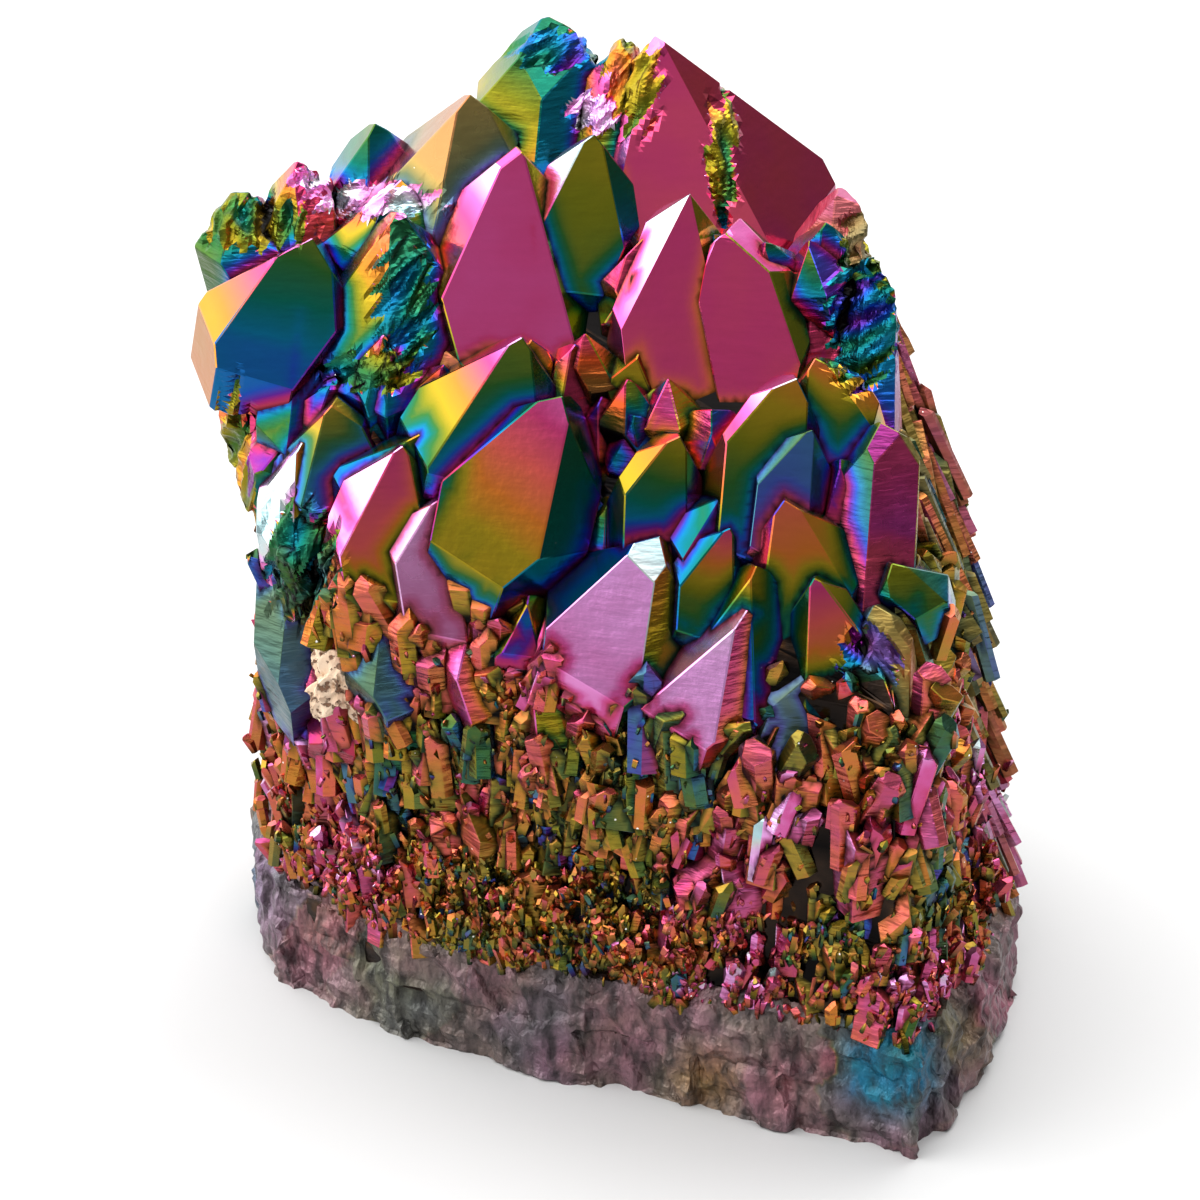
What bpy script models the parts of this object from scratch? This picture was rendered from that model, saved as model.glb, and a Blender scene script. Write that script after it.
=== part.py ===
"""A titanium-coated amethyst cluster: quartz points fused to a chunk of geode wall.

It stands on its broken rind. The whole cluster grew as one piece, so it is one solid.
Units in the design values are millimetres. The origin is on the floor, in the flat base.
X runs right, Y away from the front view, and Z up.
"""

import math
import random
from collections import namedtuple

import bmesh
import bpy
from mathutils import Matrix, Vector, noise
from mathutils.bvhtree import BVHTree

MM = 0.001

# Driving dimensions, in millimetres
RIM_Z = 40.0  # where the broken front wall ends and the points begin
RIDGE_Y = 14.0  # depth of the highest points
RIDGE_Z = 82.0
CROWN_BULGE = 5.0  # how far the crown swells out between rim and ridge
CHUNK_BEHIND = 4.0  # how far the chunk lies behind the surface that the tips reach
RIND_Z = 12.0  # thickness of the grey rind that the cluster stands on
RIM_NOD, RIDGE_NOD = 26.0, 10.0  # degrees that the points lean towards the front, at rim and ridge
SPREAD = 1.15  # the points grew this much wider than what shows of them, into one another
UNDERLAP = 2.0  # and their front faces this much further down
BACK_REACH = 3.0  # least distance from a tip back to its prism's rear face
ROOT = 4.0  # how far a point's prism goes on below its faces, into the chunk
GAP_STEP = 56  # spacing of the small points in the gaps, in picture pixels
GAP_ROWS, GAP_PLACES = 13, 13
GAP_MARGIN = 2
CROWN_LEAN = 20.0  # degrees that the small points at the crown's sides lean towards its middle
BACK_ROWS = [(17.0, 76.0, 5), (22.0, 70.0, 6), (26.0, 61.0, 6)]  # depth, height, count
BACK_REACH_X = 20.0  # the rows behind the ridge run this far to each side
BACK_ROOT = 10.0
CHIP_LIFT = math.radians(58)  # how steeply a broken tip's face looks up

# The view that the points were set out in: a square picture, its eye and its downward tilt
PICTURE_SIDE = 1200
EYE = Vector((0.0, -300.2, 195.8))
EYE_TILT = math.radians(28.0)
FOCAL_PX = 4000.0
MM_PER_PX = 0.085

# Quartz: the angle that a rhomb face's normal makes with the crystal's long axis
RHOMB_ANGLE = math.radians(51.8)
WIDTH_PER_RADIUS = 1.9  # a hexagon's width as it is seen on average, over its corner radius
APOTHEM_SHARE = 0.456  # its middle to its flat side, over that width

# One quartz point: its tip, the left and right edge of its outline and the foot of its front face,
# all in picture pixels; the way its front face turns and the way its axis leans, in degrees
# (positive to the right); how far it stands proud of the crown and how much of its tip is
# broken off, in millimetres; and how far its three minor faces stand back, as a share of its radius
Tip = namedtuple("Tip", "x y left right foot turn lean proud chip minor", defaults=(0.0, 0.0, 0.06))

TIPS = [
    # the ridge, from left to right
    Tip(297, 161, 258, 336, 222, 30, -8, -3.0),
    Tip(375, 123, 328, 424, 195, 30, 0, -3.0),
    Tip(470, 94, 330, 507, 212, 18, 4, 0.5),
    Tip(556, 12, 466, 630, 150, 30, 8, -2.0, 2.2),
    Tip(628, 34, 572, 676, 140, 8, 0, -1.5, 1.4),
    Tip(655, 35, 566, 830, 222, 4, -8, 0.0, 0.8, 0.02),
    Tip(236, 186, 202, 330, 250, 8, -10, -1.0, 2.5),
    Tip(594, 134, 528, 624, 240, 2, 12, 2.0),
    Tip(842, 186, 800, 872, 296, 12, -8, -3.0, 0.8),
    # the large points under the ridge
    Tip(402, 180, 326, 466, 262, 4, 8, -1.0, 1.2),
    Tip(396, 212, 322, 458, 350, 28, 0, 1.5),
    Tip(312, 238, 196, 334, 334, -8, 16, 2.0, 0.0, 0.2),
    Tip(516, 146, 432, 609, 332, -3, 4, 2.5, 0.5, 0.04),
    Tip(690, 194, 604, 722, 372, 2, 12, 3.0, 0.0, 0.0),
    Tip(738, 220, 713, 806, 388, -6, -3, 2.0, 1.4, 0.25),
    Tip(826, 222, 782, 846, 330, 20, 0, -1.0),
    Tip(872, 256, 830, 906, 396, 14, -8, -2.0, 0.8),
    # the middle rows
    Tip(522, 337, 403, 537, 436, -2, 18, 3.0),
    Tip(562, 396, 427, 580, 516, -28, 20, 3.5),
    Tip(602, 396, 586, 645, 462, 30, 0, -2.0),
    Tip(656, 388, 638, 684, 425, 0, 0, -1.5, 0.8),
    Tip(626, 340, 600, 662, 372, 5, 0, -1.0, 1.8),
    Tip(680, 436, 606, 699, 514, 0, 27, 2.0),
    Tip(797, 378, 694, 804, 498, -2, 28, 3.0, 0.0, 0.12),
    Tip(815, 358, 804, 886, 432, 2, -22, 1.5),
    Tip(812, 430, 742, 820, 510, -10, 24, 2.0),
    Tip(884, 424, 826, 922, 552, 20, -4, 1.5, 0.8),
    Tip(733, 490, 668, 748, 534, 8, 25, 0.5),
    Tip(611, 498, 545, 672, 548, 26, 0, -1.0),
    Tip(575, 344, 550, 602, 392, 25, 10, -0.5),
    Tip(384, 334, 354, 402, 372, 10, 0, 0.0),
    Tip(338, 398, 268, 392, 466, 8, 0, 1.0, 0.6),
    Tip(302, 340, 256, 330, 408, 25, 5, 0.5),
    Tip(248, 350, 218, 284, 396, 25, -4, -1.5),
    Tip(420, 434, 338, 430, 482, 2, 25, 1.0),
    # the lower rows
    Tip(302, 442, 256, 337, 514, 25, 0, 2.5),
    Tip(402, 446, 324, 423, 548, 0, 12, 2.5),
    Tip(442, 498, 378, 506, 584, 0, 18, 2.0),
    Tip(655, 538, 540, 706, 640, 0, 15, 2.5, 1.1),
    Tip(730, 528, 666, 738, 590, 0, 27, 1.0),
    Tip(784, 500, 742, 874, 602, -2, -20, 2.0, 0.0, 0.03),
    Tip(756, 566, 692, 824, 662, 30, -3, 1.5),
    Tip(814, 578, 802, 888, 670, 0, -26, 1.5),
    Tip(747, 610, 636, 784, 692, 30, 15, 1.5),
    Tip(612, 621, 566, 656, 680, 30, 5, 0.5, 0.5),
    Tip(796, 656, 756, 832, 724, 0, 0, 0.0, 1.5),
    Tip(394, 572, 346, 444, 664, 20, 0, 0.5, 0.8),
    Tip(486, 572, 440, 520, 664, 20, 10, 0.0, 1.0),
    Tip(562, 606, 518, 590, 694, 10, 18, 0.0),
    Tip(300, 512, 254, 338, 650, 20, 0, 0.0, 1.5),
    Tip(876, 608, 836, 922, 690, 10, -15, 0.0, 1.0),
]

# Outline of the rind on the floor, x, y
RIND_OUTLINE = [
    (26.0, -30.6), (32.4, -20.0), (37.0, -4.6), (36.2, 12.4), (27.6, 25.0), (8.0, 31.0),
    (-14.0, 30.0), (-27.4, 20.8), (-31.8, 9.0), (-29.2, -2.6), (-18.2, -13.2), (8.0, -23.2),
]
WAIST_SHARE = 0.96  # the crust over the rind stands back from it
# The chunk's left, right and back sides at some heights: z, left x, right x, back y
CHUNK_LEVELS = [
    (26.0, -27.6, 30.4, 27.0), (40.0, -26.5, 30.0, 26.0), (54.0, -26.0, 23.6, 24.0),
    (62.0, -24.0, 19.6, 22.0), (67.0, -14.0, 13.6, 19.0),
]
SIDE_DEPTHS = (7.0, 14.0)  # depths that the left and right sides run through
GRAIN = 3.0  # size of the rind's broken facets
ROCK_SHARE = 0.55  # share of the rind's faces kept when its flats are merged

# The broken columns that stand against the chunk's sides. A band runs round from one bearing to the
# other, in degrees from the front towards the right, and up from low to high; then come its count
# round and up, and the width and length of its columns
Band = namedtuple("Band", "start end low high around up width length")
BANDS = [
    Band(-62, 62, 10.0, 39.0, 17, 6, 5.6, 8.6),
    Band(62, 118, 12.0, 60.0, 8, 4, 5.0, 16.0),
    Band(118, 238, 12.0, 56.0, 9, 4, 8.4, 17.0),
    Band(238, 300, 12.0, 58.0, 7, 4, 6.4, 15.0),
]
MIDDLE = Vector((2.0, 4.0, 0.0))


def front_y(x):
    """Depth of the broken front wall at a place across the cluster."""
    turned_back = max(0.0, -15.0 - x)
    return -18.6 - 0.36 * x + 0.05 * turned_back ** 2


def crown_y(x, z):
    """Depth of the surface that the tips reach, from the rim up to the ridge."""
    rise = min(1.0, max(0.0, (z - RIM_Z) / (RIDGE_Z - RIM_Z)))
    flat = front_y(x) * (1.0 - rise) + RIDGE_Y * rise
    return flat - CROWN_BULGE * math.sin(math.pi * rise)


def sight(px, py):
    """Direction from the eye through a pixel of the picture."""
    right = Vector((1.0, 0.0, 0.0))
    up = Vector((0.0, math.sin(EYE_TILT), math.cos(EYE_TILT)))
    ahead = Vector((0.0, math.cos(EYE_TILT), -math.sin(EYE_TILT)))
    half = PICTURE_SIDE / 2
    return ahead + right * ((px - half) / FOCAL_PX) + up * ((half - py) / FOCAL_PX)


def seen_at(px, py, proud):
    """The place on the crown that a pixel shows, brought forward by proud."""
    ray = sight(px, py)
    depth = 0.0
    for _ in range(16):
        place = EYE + ray * ((depth - EYE.y) / ray.y)
        depth = 0.5 * (depth + crown_y(place.x, place.z) - proud)
    return EYE + ray * ((depth - EYE.y) / ray.y)


def axes_along(axis):
    """Rotation whose Z is the axis and whose -Y looks to the front as nearly as it can."""
    z_axis = axis.normalized()
    x_axis = Vector((0.0, 1.0, 0.0)).cross(z_axis).normalized()
    y_axis = z_axis.cross(x_axis)
    return Matrix((x_axis, y_axis, z_axis)).transposed()


def grown_way(lean, nod):
    """Direction of a point that leans right by lean and towards the front by nod, as the picture shows it."""
    foreshortened = math.cos(EYE_TILT) - math.sin(EYE_TILT) * math.tan(math.radians(nod))
    return Vector((foreshortened * math.tan(math.radians(lean)), -math.tan(math.radians(nod)), 1.0))


def facing(turn, lift):
    """Unit vector that turns right from the front by turn and rises by lift."""
    return Vector((math.sin(turn) * math.cos(lift), -math.cos(turn) * math.cos(lift), math.sin(lift)))


def cut_away(bm, point, normal):
    """Cuts off what lies beyond a plane and closes the cut."""
    everything = bm.verts[:] + bm.edges[:] + bm.faces[:]
    cut = bmesh.ops.bisect_plane(
        bm, geom=everything, dist=1e-5, plane_co=point, plane_no=normal, clear_outer=True
    )
    rim = [edge for edge in cut["geom_cut"] if isinstance(edge, bmesh.types.BMEdge)]
    if rim:
        bmesh.ops.holes_fill(bm, edges=rim)


def quartz(width, depth, length, apex_shift, turn, minor_rise, chip, chip_turn):
    """A six-sided prism with its tip at the origin: three large rhomb faces and three minor ones.

    apex_shift moves the tip off the prism's own axis, which makes one face larger than the others.
    """
    radius = width / WIDTH_PER_RADIUS
    lift = math.pi / 2 - RHOMB_ANGLE
    bm = bmesh.new()
    spin = Matrix.Rotation(turn, 4, "Z") @ Matrix.Rotation(math.radians(30), 4, "Z")
    deepen = Matrix.Diagonal((1.0, depth / width, 1.0, 1.0))
    place = Matrix.Translation((-apex_shift.x, -apex_shift.y, radius - length / 2))
    bmesh.ops.create_cone(
        bm, cap_ends=True, segments=6, radius1=radius * 0.9, radius2=radius, depth=length + radius * 2,
        matrix=place @ deepen @ spin,
    )
    for third in range(3):
        major = turn + math.radians(120 * third)
        cut_away(bm, Vector(), facing(major, lift))
        minor = major + math.radians(60)
        cut_away(bm, Vector((0, 0, minor_rise * radius)), facing(minor, lift))
    if chip > 0:
        cut_away(bm, Vector((0, 0, -chip)), facing(chip_turn, CHIP_LIFT))
    return bm


def add_into(target, bm, matrix):
    """Moves a mesh into place and adds it to the target."""
    bm.transform(matrix)
    piece = bpy.data.meshes.new("piece")
    bm.to_mesh(piece)
    bm.free()
    target.from_mesh(piece)
    bpy.data.meshes.remove(piece)


def nod_at(z):
    """How far the points at a height lean towards the front."""
    rise = min(1.0, max(0.0, (z - RIM_Z) / (RIDGE_Z - RIM_Z)))
    return RIM_NOD + (RIDGE_NOD - RIM_NOD) * rise


def named_points(target):
    """The points that were set out one by one in the front view."""
    rng = random.Random(11)
    up = Vector((0.0, math.sin(EYE_TILT), math.cos(EYE_TILT)))
    for tip in TIPS:
        apex = seen_at(tip.x, tip.y, tip.proud)
        width = (tip.right - tip.left) * MM_PER_PX * SPREAD
        turn = math.radians(tip.turn)
        off_face = (turn + math.pi / 6) % (math.pi / 3) - math.pi / 6
        turned = axes_along(grown_way(tip.lean, nod_at(apex.z)))
        down = Vector((0.0, -1.0, -math.tan(RHOMB_ANGLE) * math.cos(off_face)))
        reach = UNDERLAP + SPREAD * (tip.foot - tip.y) * MM_PER_PX / -(turned @ down).dot(up)
        lean_drop = (tip.foot - tip.y) * math.tan(math.radians(tip.lean))
        depth = max(width, (reach + BACK_REACH) * 0.5 / APOTHEM_SHARE)
        shift = Vector((
            (tip.x - (tip.left + tip.right) / 2 - lean_drop) * MM_PER_PX,
            max(-0.2 * width, reach - APOTHEM_SHARE * depth),
            0.0,
        ))
        minor = tip.minor + rng.uniform(0.0, 0.08)
        root = ROOT + reach * math.tan(RHOMB_ANGLE)
        bm = quartz(width, depth, root, shift, turn, minor, tip.chip, rng.uniform(-2.0, 2.0))
        add_into(target, bm, Matrix.Translation(apex) @ turned.to_4x4())


def covers(tip, px, py):
    """True where a named point's faces hide what stands behind them."""
    share = (py - tip.y) / (tip.foot - tip.y)
    if not -0.1 < share < 1.0:
        return False
    left = tip.x + (tip.left - tip.x) * min(1.0, share * 1.3)
    right = tip.x + (tip.right - tip.x) * min(1.0, share * 1.3)
    return left - GAP_MARGIN < px < right + GAP_MARGIN


def crown_left(py):
    """Left edge of the crown in the picture."""
    if py < 260:
        return 236 + 1.9 * (260 - py)
    return 236 + 70 * min(1.0, max(0.0, (py - 340) / 140))


def crown_right(py):
    """Right edge of the crown in the picture."""
    return min(895, 795 + 0.4 * (py - 150))


def gap_points(target):
    """Smaller points that fill the gaps between the named ones, standing lower than they do."""
    rng = random.Random(5)
    for row in range(GAP_ROWS):
        for place in range(GAP_PLACES):
            px = 200 + GAP_STEP * (place + 0.5 * (row % 2)) + rng.uniform(-0.3, 0.3) * GAP_STEP
            py = 150 + 0.8 * GAP_STEP * row + rng.uniform(-0.2, 0.2) * GAP_STEP
            proud, width, turn = rng.uniform(-1.5, 0.0), rng.uniform(6.0, 9.0), rng.uniform(0, 60)
            across, lift, minor = rng.uniform(-0.2, 0.2), rng.uniform(-12, 12), rng.uniform(0.0, 0.3)
            if not crown_left(py) < px < crown_right(py) or any(covers(tip, px, py) for tip in TIPS):
                continue
            apex = seen_at(px, py, proud)
            lean = CROWN_LEAN * ((PICTURE_SIDE / 2 - px) / 300 + across)
            shift = Vector((across * width, 0, 0))
            bm = quartz(width, width, width + 1, shift, math.radians(turn), minor, 0.0, 0.0)
            turned = axes_along(grown_way(lean, nod_at(apex.z) + lift)).to_4x4()
            add_into(target, bm, Matrix.Translation(apex) @ turned)


def back_points(target):
    """Points behind the ridge, which the front view doesn't show."""
    rng = random.Random(23)
    for depth, height, count in BACK_ROWS:
        for place in range(count):
            across = BACK_REACH_X * (2.0 * (place + rng.uniform(0.2, 0.8)) / count - 1.0)
            drop = 0.03 * across ** 2
            apex = Vector((across, depth - 0.1 * drop, height - drop + rng.uniform(-1.5, 1.0)))
            width = rng.uniform(9.0, 13.0)
            shift = Vector((rng.uniform(-0.15, 0.15), rng.uniform(-0.2, 0.0), 0)) * width
            bm = quartz(
                width, width, BACK_ROOT, shift, math.pi + rng.uniform(-0.6, 0.6), rng.uniform(0.0, 0.3),
                rng.choice((0.0, 0.0, 1.2)), math.pi,
            )
            turned = axes_along(grown_way(-0.9 * across, -16.0)).to_4x4()
            add_into(target, bm, Matrix.Translation(apex) @ turned)


def column(target, middle, axis, width, length, rng):
    """A broken quartz column: a thin prism, its top snapped off on the slant."""
    radius = width / 2
    bm = bmesh.new()
    bmesh.ops.create_cone(
        bm, cap_ends=True, segments=rng.choice((4, 4, 5)), radius1=radius * 0.8, radius2=radius,
        depth=length, matrix=Matrix.Rotation(rng.uniform(0, 6), 4, "Z"),
    )
    top = Vector((0, 0, length / 2 - radius * 0.6))
    cut_away(bm, top, facing(rng.uniform(-1.3, 1.3), rng.uniform(0.5, 1.1)))
    add_into(target, bm, Matrix.Translation(middle) @ axes_along(axis).to_4x4())


def wall_columns(target, chunk):
    """The broken roots of the crystals, close together round the chunk's sides."""
    rng = random.Random(31)
    sides = BVHTree.FromBMesh(chunk)
    for band in BANDS:
        for row in range(band.up):
            for place in range(band.around):
                share = (place + 0.5 * (row % 2) + rng.uniform(0.0, 0.5)) / band.around
                rise = (row + rng.uniform(0.2, 0.8)) / band.up
                size, jog = rng.uniform(0.7, 1.2), Vector((rng.uniform(-0.2, 0.2), rng.uniform(-0.2, 0.2), 0))
                bearing = math.radians(band.start + (band.end - band.start) * share)
                outward = Vector((math.sin(bearing), -math.cos(bearing), 0.0))
                inside = MIDDLE + Vector((0, 0, band.low + (band.high - band.low) * rise))
                hit, normal = sides.ray_cast(inside, outward)[:2]
                if hit is None:
                    continue
                if band.up > 3:
                    size *= 0.7 + 0.5 * rise
                width, length = band.width * size, band.length * size
                along = Vector((0, 0, 1)) - normal * normal.z + jog
                column(target, hit - normal * width * rng.uniform(0.0, 0.25), along, width, length, rng)


def hull_of(corners):
    """A convex solid round some corners."""
    bm = bmesh.new()
    loose = [bm.verts.new(corner) for corner in corners]
    hull = bmesh.ops.convex_hull(bm, input=loose)
    bmesh.ops.delete(bm, geom=hull["geom_interior"], context="VERTS")
    return bm


def chunk_hull():
    """The core of the chunk: it rises from the rind, and its front slopes back behind the crown."""
    corners = [Vector((x * WAIST_SHARE, y * WAIST_SHARE, 5.0)) for x, y in RIND_OUTLINE]
    for z, left, right, back in CHUNK_LEVELS:
        behind = 1.0 if z <= RIM_Z else CHUNK_BEHIND + 0.3 * (z - 54.0)
        for share in (0.12, 0.38, 0.62, 0.88):
            x = left + (right - left) * share
            corners.append(Vector((x, crown_y(x, z) + behind, z)))
            corners.append(Vector((x * 0.9, back, z)))
        corners += [Vector((side, y, z)) for side in (left, right) for y in SIDE_DEPTHS]
    return hull_of(corners)


def rind(collection):
    """The outer skin of the geode, broken rough and cut off flat underneath."""
    corners = [Vector((x, y, z)) for x, y in RIND_OUTLINE for z in (-4.0, RIND_Z * 0.8)]
    corners += [Vector((x * 0.95, y * 0.95, RIND_Z)) for x, y in RIND_OUTLINE]
    bm = hull_of(corners)
    mesh = bpy.data.meshes.new("rind")
    bm.to_mesh(mesh)
    bm.free()
    obj = bpy.data.objects.new("rind", mesh)
    collection.objects.link(obj)
    remesh = obj.modifiers.new("grain", "REMESH")
    remesh.mode = "VOXEL"
    remesh.voxel_size = GRAIN
    settled(obj)
    roughen(obj.data)
    merge = obj.modifiers.new("facets", "DECIMATE")
    merge.ratio = ROCK_SHARE
    settled(obj)
    bm = bmesh.new()
    bm.from_mesh(obj.data)
    cut_away(bm, Vector(), Vector((0, 0, -1)))
    bm.to_mesh(obj.data)
    bm.free()
    return obj


def roughen(mesh):
    """Breaks the smooth rind into ledges and lumps."""
    shifts = []
    for vertex in mesh.vertices:
        at = vertex.co
        coarse = noise.noise(Vector((at.x, at.y, at.z * 0.5)) * 0.11)
        fine = noise.noise(Vector((at.x + 40, at.y, at.z)) * 0.33)
        shifts.append(vertex.normal * (1.5 * coarse + 0.9 * fine))
    for vertex, shift in zip(mesh.vertices, shifts):
        vertex.co += shift


def settled(obj):
    """Replaces an object's mesh with what its modifiers make of it."""
    graph = bpy.context.evaluated_depsgraph_get()
    mesh = bpy.data.meshes.new_from_object(obj.evaluated_get(graph))
    obj.modifiers.clear()
    obj.data = mesh


def coated_quartz():
    """The titanium film over the quartz: a metallic magenta, as the main faces show."""
    material = bpy.data.materials.new("titanium_coated_quartz")
    material.use_nodes = True
    shader = material.node_tree.nodes["Principled BSDF"]
    shader.inputs["Base Color"].default_value = (0.36, 0.07, 0.19, 1.0)
    shader.inputs["Metallic"].default_value = 0.8
    shader.inputs["Roughness"].default_value = 0.2
    return material


def fill_hollows(bm):
    """Keeps the outer skin only, so that the gaps left shut in between the points are solid."""
    bm.verts.ensure_lookup_table()
    bm.verts.index_update()
    waiting, skins = set(range(len(bm.verts))), []
    while waiting:
        skin, rim = [], [min(waiting)]
        waiting.remove(rim[0])
        while rim:
            vertex = bm.verts[rim.pop()]
            skin.append(vertex)
            near = {edge.other_vert(vertex).index for edge in vertex.link_edges} & waiting
            waiting -= near
            rim.extend(sorted(near))
        skins.append(skin)
    outer = max(skins, key=len)
    inner = [vertex for skin in skins if skin is not outer for vertex in skin]
    bmesh.ops.delete(bm, geom=inner, context="VERTS")


def finish_cluster(obj):
    """Cleans the joined mesh, brings it to metres and gives it flat facets."""
    bm = bmesh.new()
    bm.from_mesh(obj.data)
    fill_hollows(bm)
    bmesh.ops.remove_doubles(bm, verts=bm.verts[:], dist=0.004)
    bmesh.ops.dissolve_degenerate(bm, edges=bm.edges[:], dist=0.004)
    bmesh.ops.dissolve_limit(
        bm, angle_limit=math.radians(0.3), use_dissolve_boundaries=False, verts=bm.verts[:], edges=bm.edges[:]
    )
    bmesh.ops.triangulate(bm, faces=bm.faces[:])
    bm.transform(Matrix.Scale(MM, 4))
    bm.to_mesh(obj.data)
    bm.free()
    obj.data.shade_flat()


def main():
    for old in list(bpy.data.objects):
        bpy.data.objects.remove(old)
    parts = bpy.data.collections.new("amethyst_cluster_parts")
    helpers = bpy.data.collections.new("grown_on")
    for collection in (parts, helpers):
        bpy.context.scene.collection.children.link(collection)

    cluster = rind(parts)
    cluster.name = "amethyst_cluster"

    bm = chunk_hull()
    chunk = bm.copy()
    wall_columns(bm, chunk)
    chunk.free()
    named_points(bm)
    gap_points(bm)
    back_points(bm)
    bmesh.ops.recalc_face_normals(bm, faces=bm.faces[:])
    mesh = bpy.data.meshes.new("crystals")
    bm.to_mesh(mesh)
    bm.free()
    crystals = bpy.data.objects.new("crystals", mesh)
    crystals.hide_render = True
    crystals.display_type = "WIRE"
    helpers.objects.link(crystals)

    grown = cluster.modifiers.new("grown_together", "BOOLEAN")
    grown.operation = "UNION"
    grown.object = crystals
    grown.use_self = True
    settled(cluster)
    finish_cluster(cluster)
    cluster.data.materials.clear()
    cluster.data.materials.append(coated_quartz())
    bpy.data.objects.remove(crystals)


main()
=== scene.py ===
"""How the titanium-coated amethyst cluster looks: its crystals, crust and rind, and their finishes.

Lengths are in millimetres until a piece is made. X runs right, Y away from the front view, Z up.
"""

import math
import random
from collections import namedtuple

import bmesh
import bpy
import numpy as np
from mathutils import Matrix, Vector, noise
from mathutils.bvhtree import BVHTree


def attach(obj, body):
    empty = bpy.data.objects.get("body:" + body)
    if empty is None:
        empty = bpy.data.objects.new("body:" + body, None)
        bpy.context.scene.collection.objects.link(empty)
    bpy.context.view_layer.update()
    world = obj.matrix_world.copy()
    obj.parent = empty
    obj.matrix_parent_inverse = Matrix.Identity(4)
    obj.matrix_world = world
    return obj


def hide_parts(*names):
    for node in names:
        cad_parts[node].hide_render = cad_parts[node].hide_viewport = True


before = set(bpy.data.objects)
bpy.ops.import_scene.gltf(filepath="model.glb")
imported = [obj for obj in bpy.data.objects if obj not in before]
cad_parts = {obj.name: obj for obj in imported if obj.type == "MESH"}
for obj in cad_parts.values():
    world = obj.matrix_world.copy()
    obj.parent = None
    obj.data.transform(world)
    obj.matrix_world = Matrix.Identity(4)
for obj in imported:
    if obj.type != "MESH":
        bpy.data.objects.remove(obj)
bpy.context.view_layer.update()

MM = 0.001

# The cluster's form, as the solids have it
RIM_Z = 40.0  # where the broken front wall ends and the points begin
RIDGE_Y, RIDGE_Z = 14.0, 82.0
CROWN_BULGE = 5.0
CHUNK_BEHIND = 4.0  # how far the chunk lies behind the surface that the tips reach
RIND_Z = 12.0
RIM_NOD, RIDGE_NOD = 26.0, 10.0  # degrees that the points lean towards the front
SPREAD = 1.15  # the points grew this much wider than what shows of them, into one another
UNDERLAP = 2.0
BACK_REACH = 3.0
ROOT = 4.0
FRONT_Y, FRONT_SLOPE = -18.6, 0.36
TURN_X, TURN_CURVE = -15.0, 0.05  # left of this the front wall turns back
GAP_LEFT, GAP_TOP = 200, 150  # where the small points' rows start in the picture, and their spacing
GAP_STEP = 56
GAP_ROWS, GAP_PLACES = 13, 13
GAP_MARGIN = 2
CROWN_LEAN = 20.0
# The crown's edges in the picture: where they are, where they start to run in and how steeply
LEFT_EDGE, LEFT_TURNS, LEFT_SLOPE = 236, 260, 1.9
LEFT_LOW, LEFT_RUN, LEFT_IN = 340, 140, 70
RIGHT_EDGE, RIGHT_START, RIGHT_SLOPE = 895, 795, 0.4
BACK_ROWS = [(17.0, 76.0, 5), (22.0, 70.0, 6), (26.0, 61.0, 6)]
BACK_REACH_X = 20.0
BACK_ROOT = 10.0
CHIP_LIFT = math.radians(58)

# The front view: a square picture, its eye and its downward tilt
PICTURE_SIDE = 1200
EYE = Vector((0.0, -300.2, 195.8))
EYE_TILT = math.radians(28.0)
FOCAL_PX = 4000.0
LENS_MM, SENSOR_MM = 120.0, 36.0
NEAREST_SEEN, FURTHEST_SEEN = 0.01, 10.0
MM_PER_PX = 0.085

RHOMB_ANGLE = math.radians(51.8)
WIDTH_PER_RADIUS = 1.9
APOTHEM_SHARE = 0.456
SAME_PLACE, SAME_FACE = 0.02, 0.01  # corners this close are one, and faces within this angle are one
SETTLING_ROUNDS = 16  # rounds that it takes to find the place on the crown behind a pixel
WELL_OUTSIDE = 70.0  # rays at the walls start this far from the middle

# How finely the crystals are cut up, so that the coating's colour can change over a face
FINE_STEP, COARSE_STEP = 0.85, 1.5
CUT_ROUNDS = 8
BURIED_SHARE, LONG_EDGE = 0.4, 4.0  # an edge this share of its length inside a crystal is cut only if longer
EDGE_BEVEL = 0.09
GROOVE_RUN = 0.09  # how far the coating's colours run on in a groove, for each millimetre that they take
BESIDE_REACH = 2.0  # crystals no further apart than this have a groove between them
# The dark in a groove is painted shade, not a colour of the coating.
DARK_LINE, CRUST_LINE = 0.22, 0.3  # how wide the dark in a groove is, between points and in the crust
POINT_KINDS = ("point", "gap", "back")
FACE_SIDE = math.radians(30)  # a face that turns further from the main one is a left or right face
DEEPEST = 0.84  # the coating's thickest colour beside a groove's dark line

# The coating's thickness on a crystal, as a place on its colour scale (0 silver, .18 magenta, .36
# orange, .5 green, .64 teal, .7 blue, .76 violet, .88 red, 1 black), at the tip and at the foot of
# its main face and of the faces to the left and right of that. Then how many millimetres the colours
# take to run into a groove, how rough the faces are and how dull
Coat = namedtuple("Coat", "front left right fade rough dull", defaults=(2.5, 0.1, 0.0))

# One quartz point: its tip, the left and right edge of its outline and the foot of its front face,
# in picture pixels; how its front face turns and its axis leans, in degrees to the right; how far it
# stands proud of the crown and how much of its tip is broken off; how far its minor faces stand back,
# as a share of its radius; and its coating. They are as in the solids, but for two: (375, 123) stands
# 3 mm further back here, and (655, 538) turns 28 degrees to the left
TIP_FIELDS = "x y left right foot turn lean proud chip minor coat"
Tip = namedtuple("Tip", TIP_FIELDS, defaults=(0.0, 0.0, 0.06, None))

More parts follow.
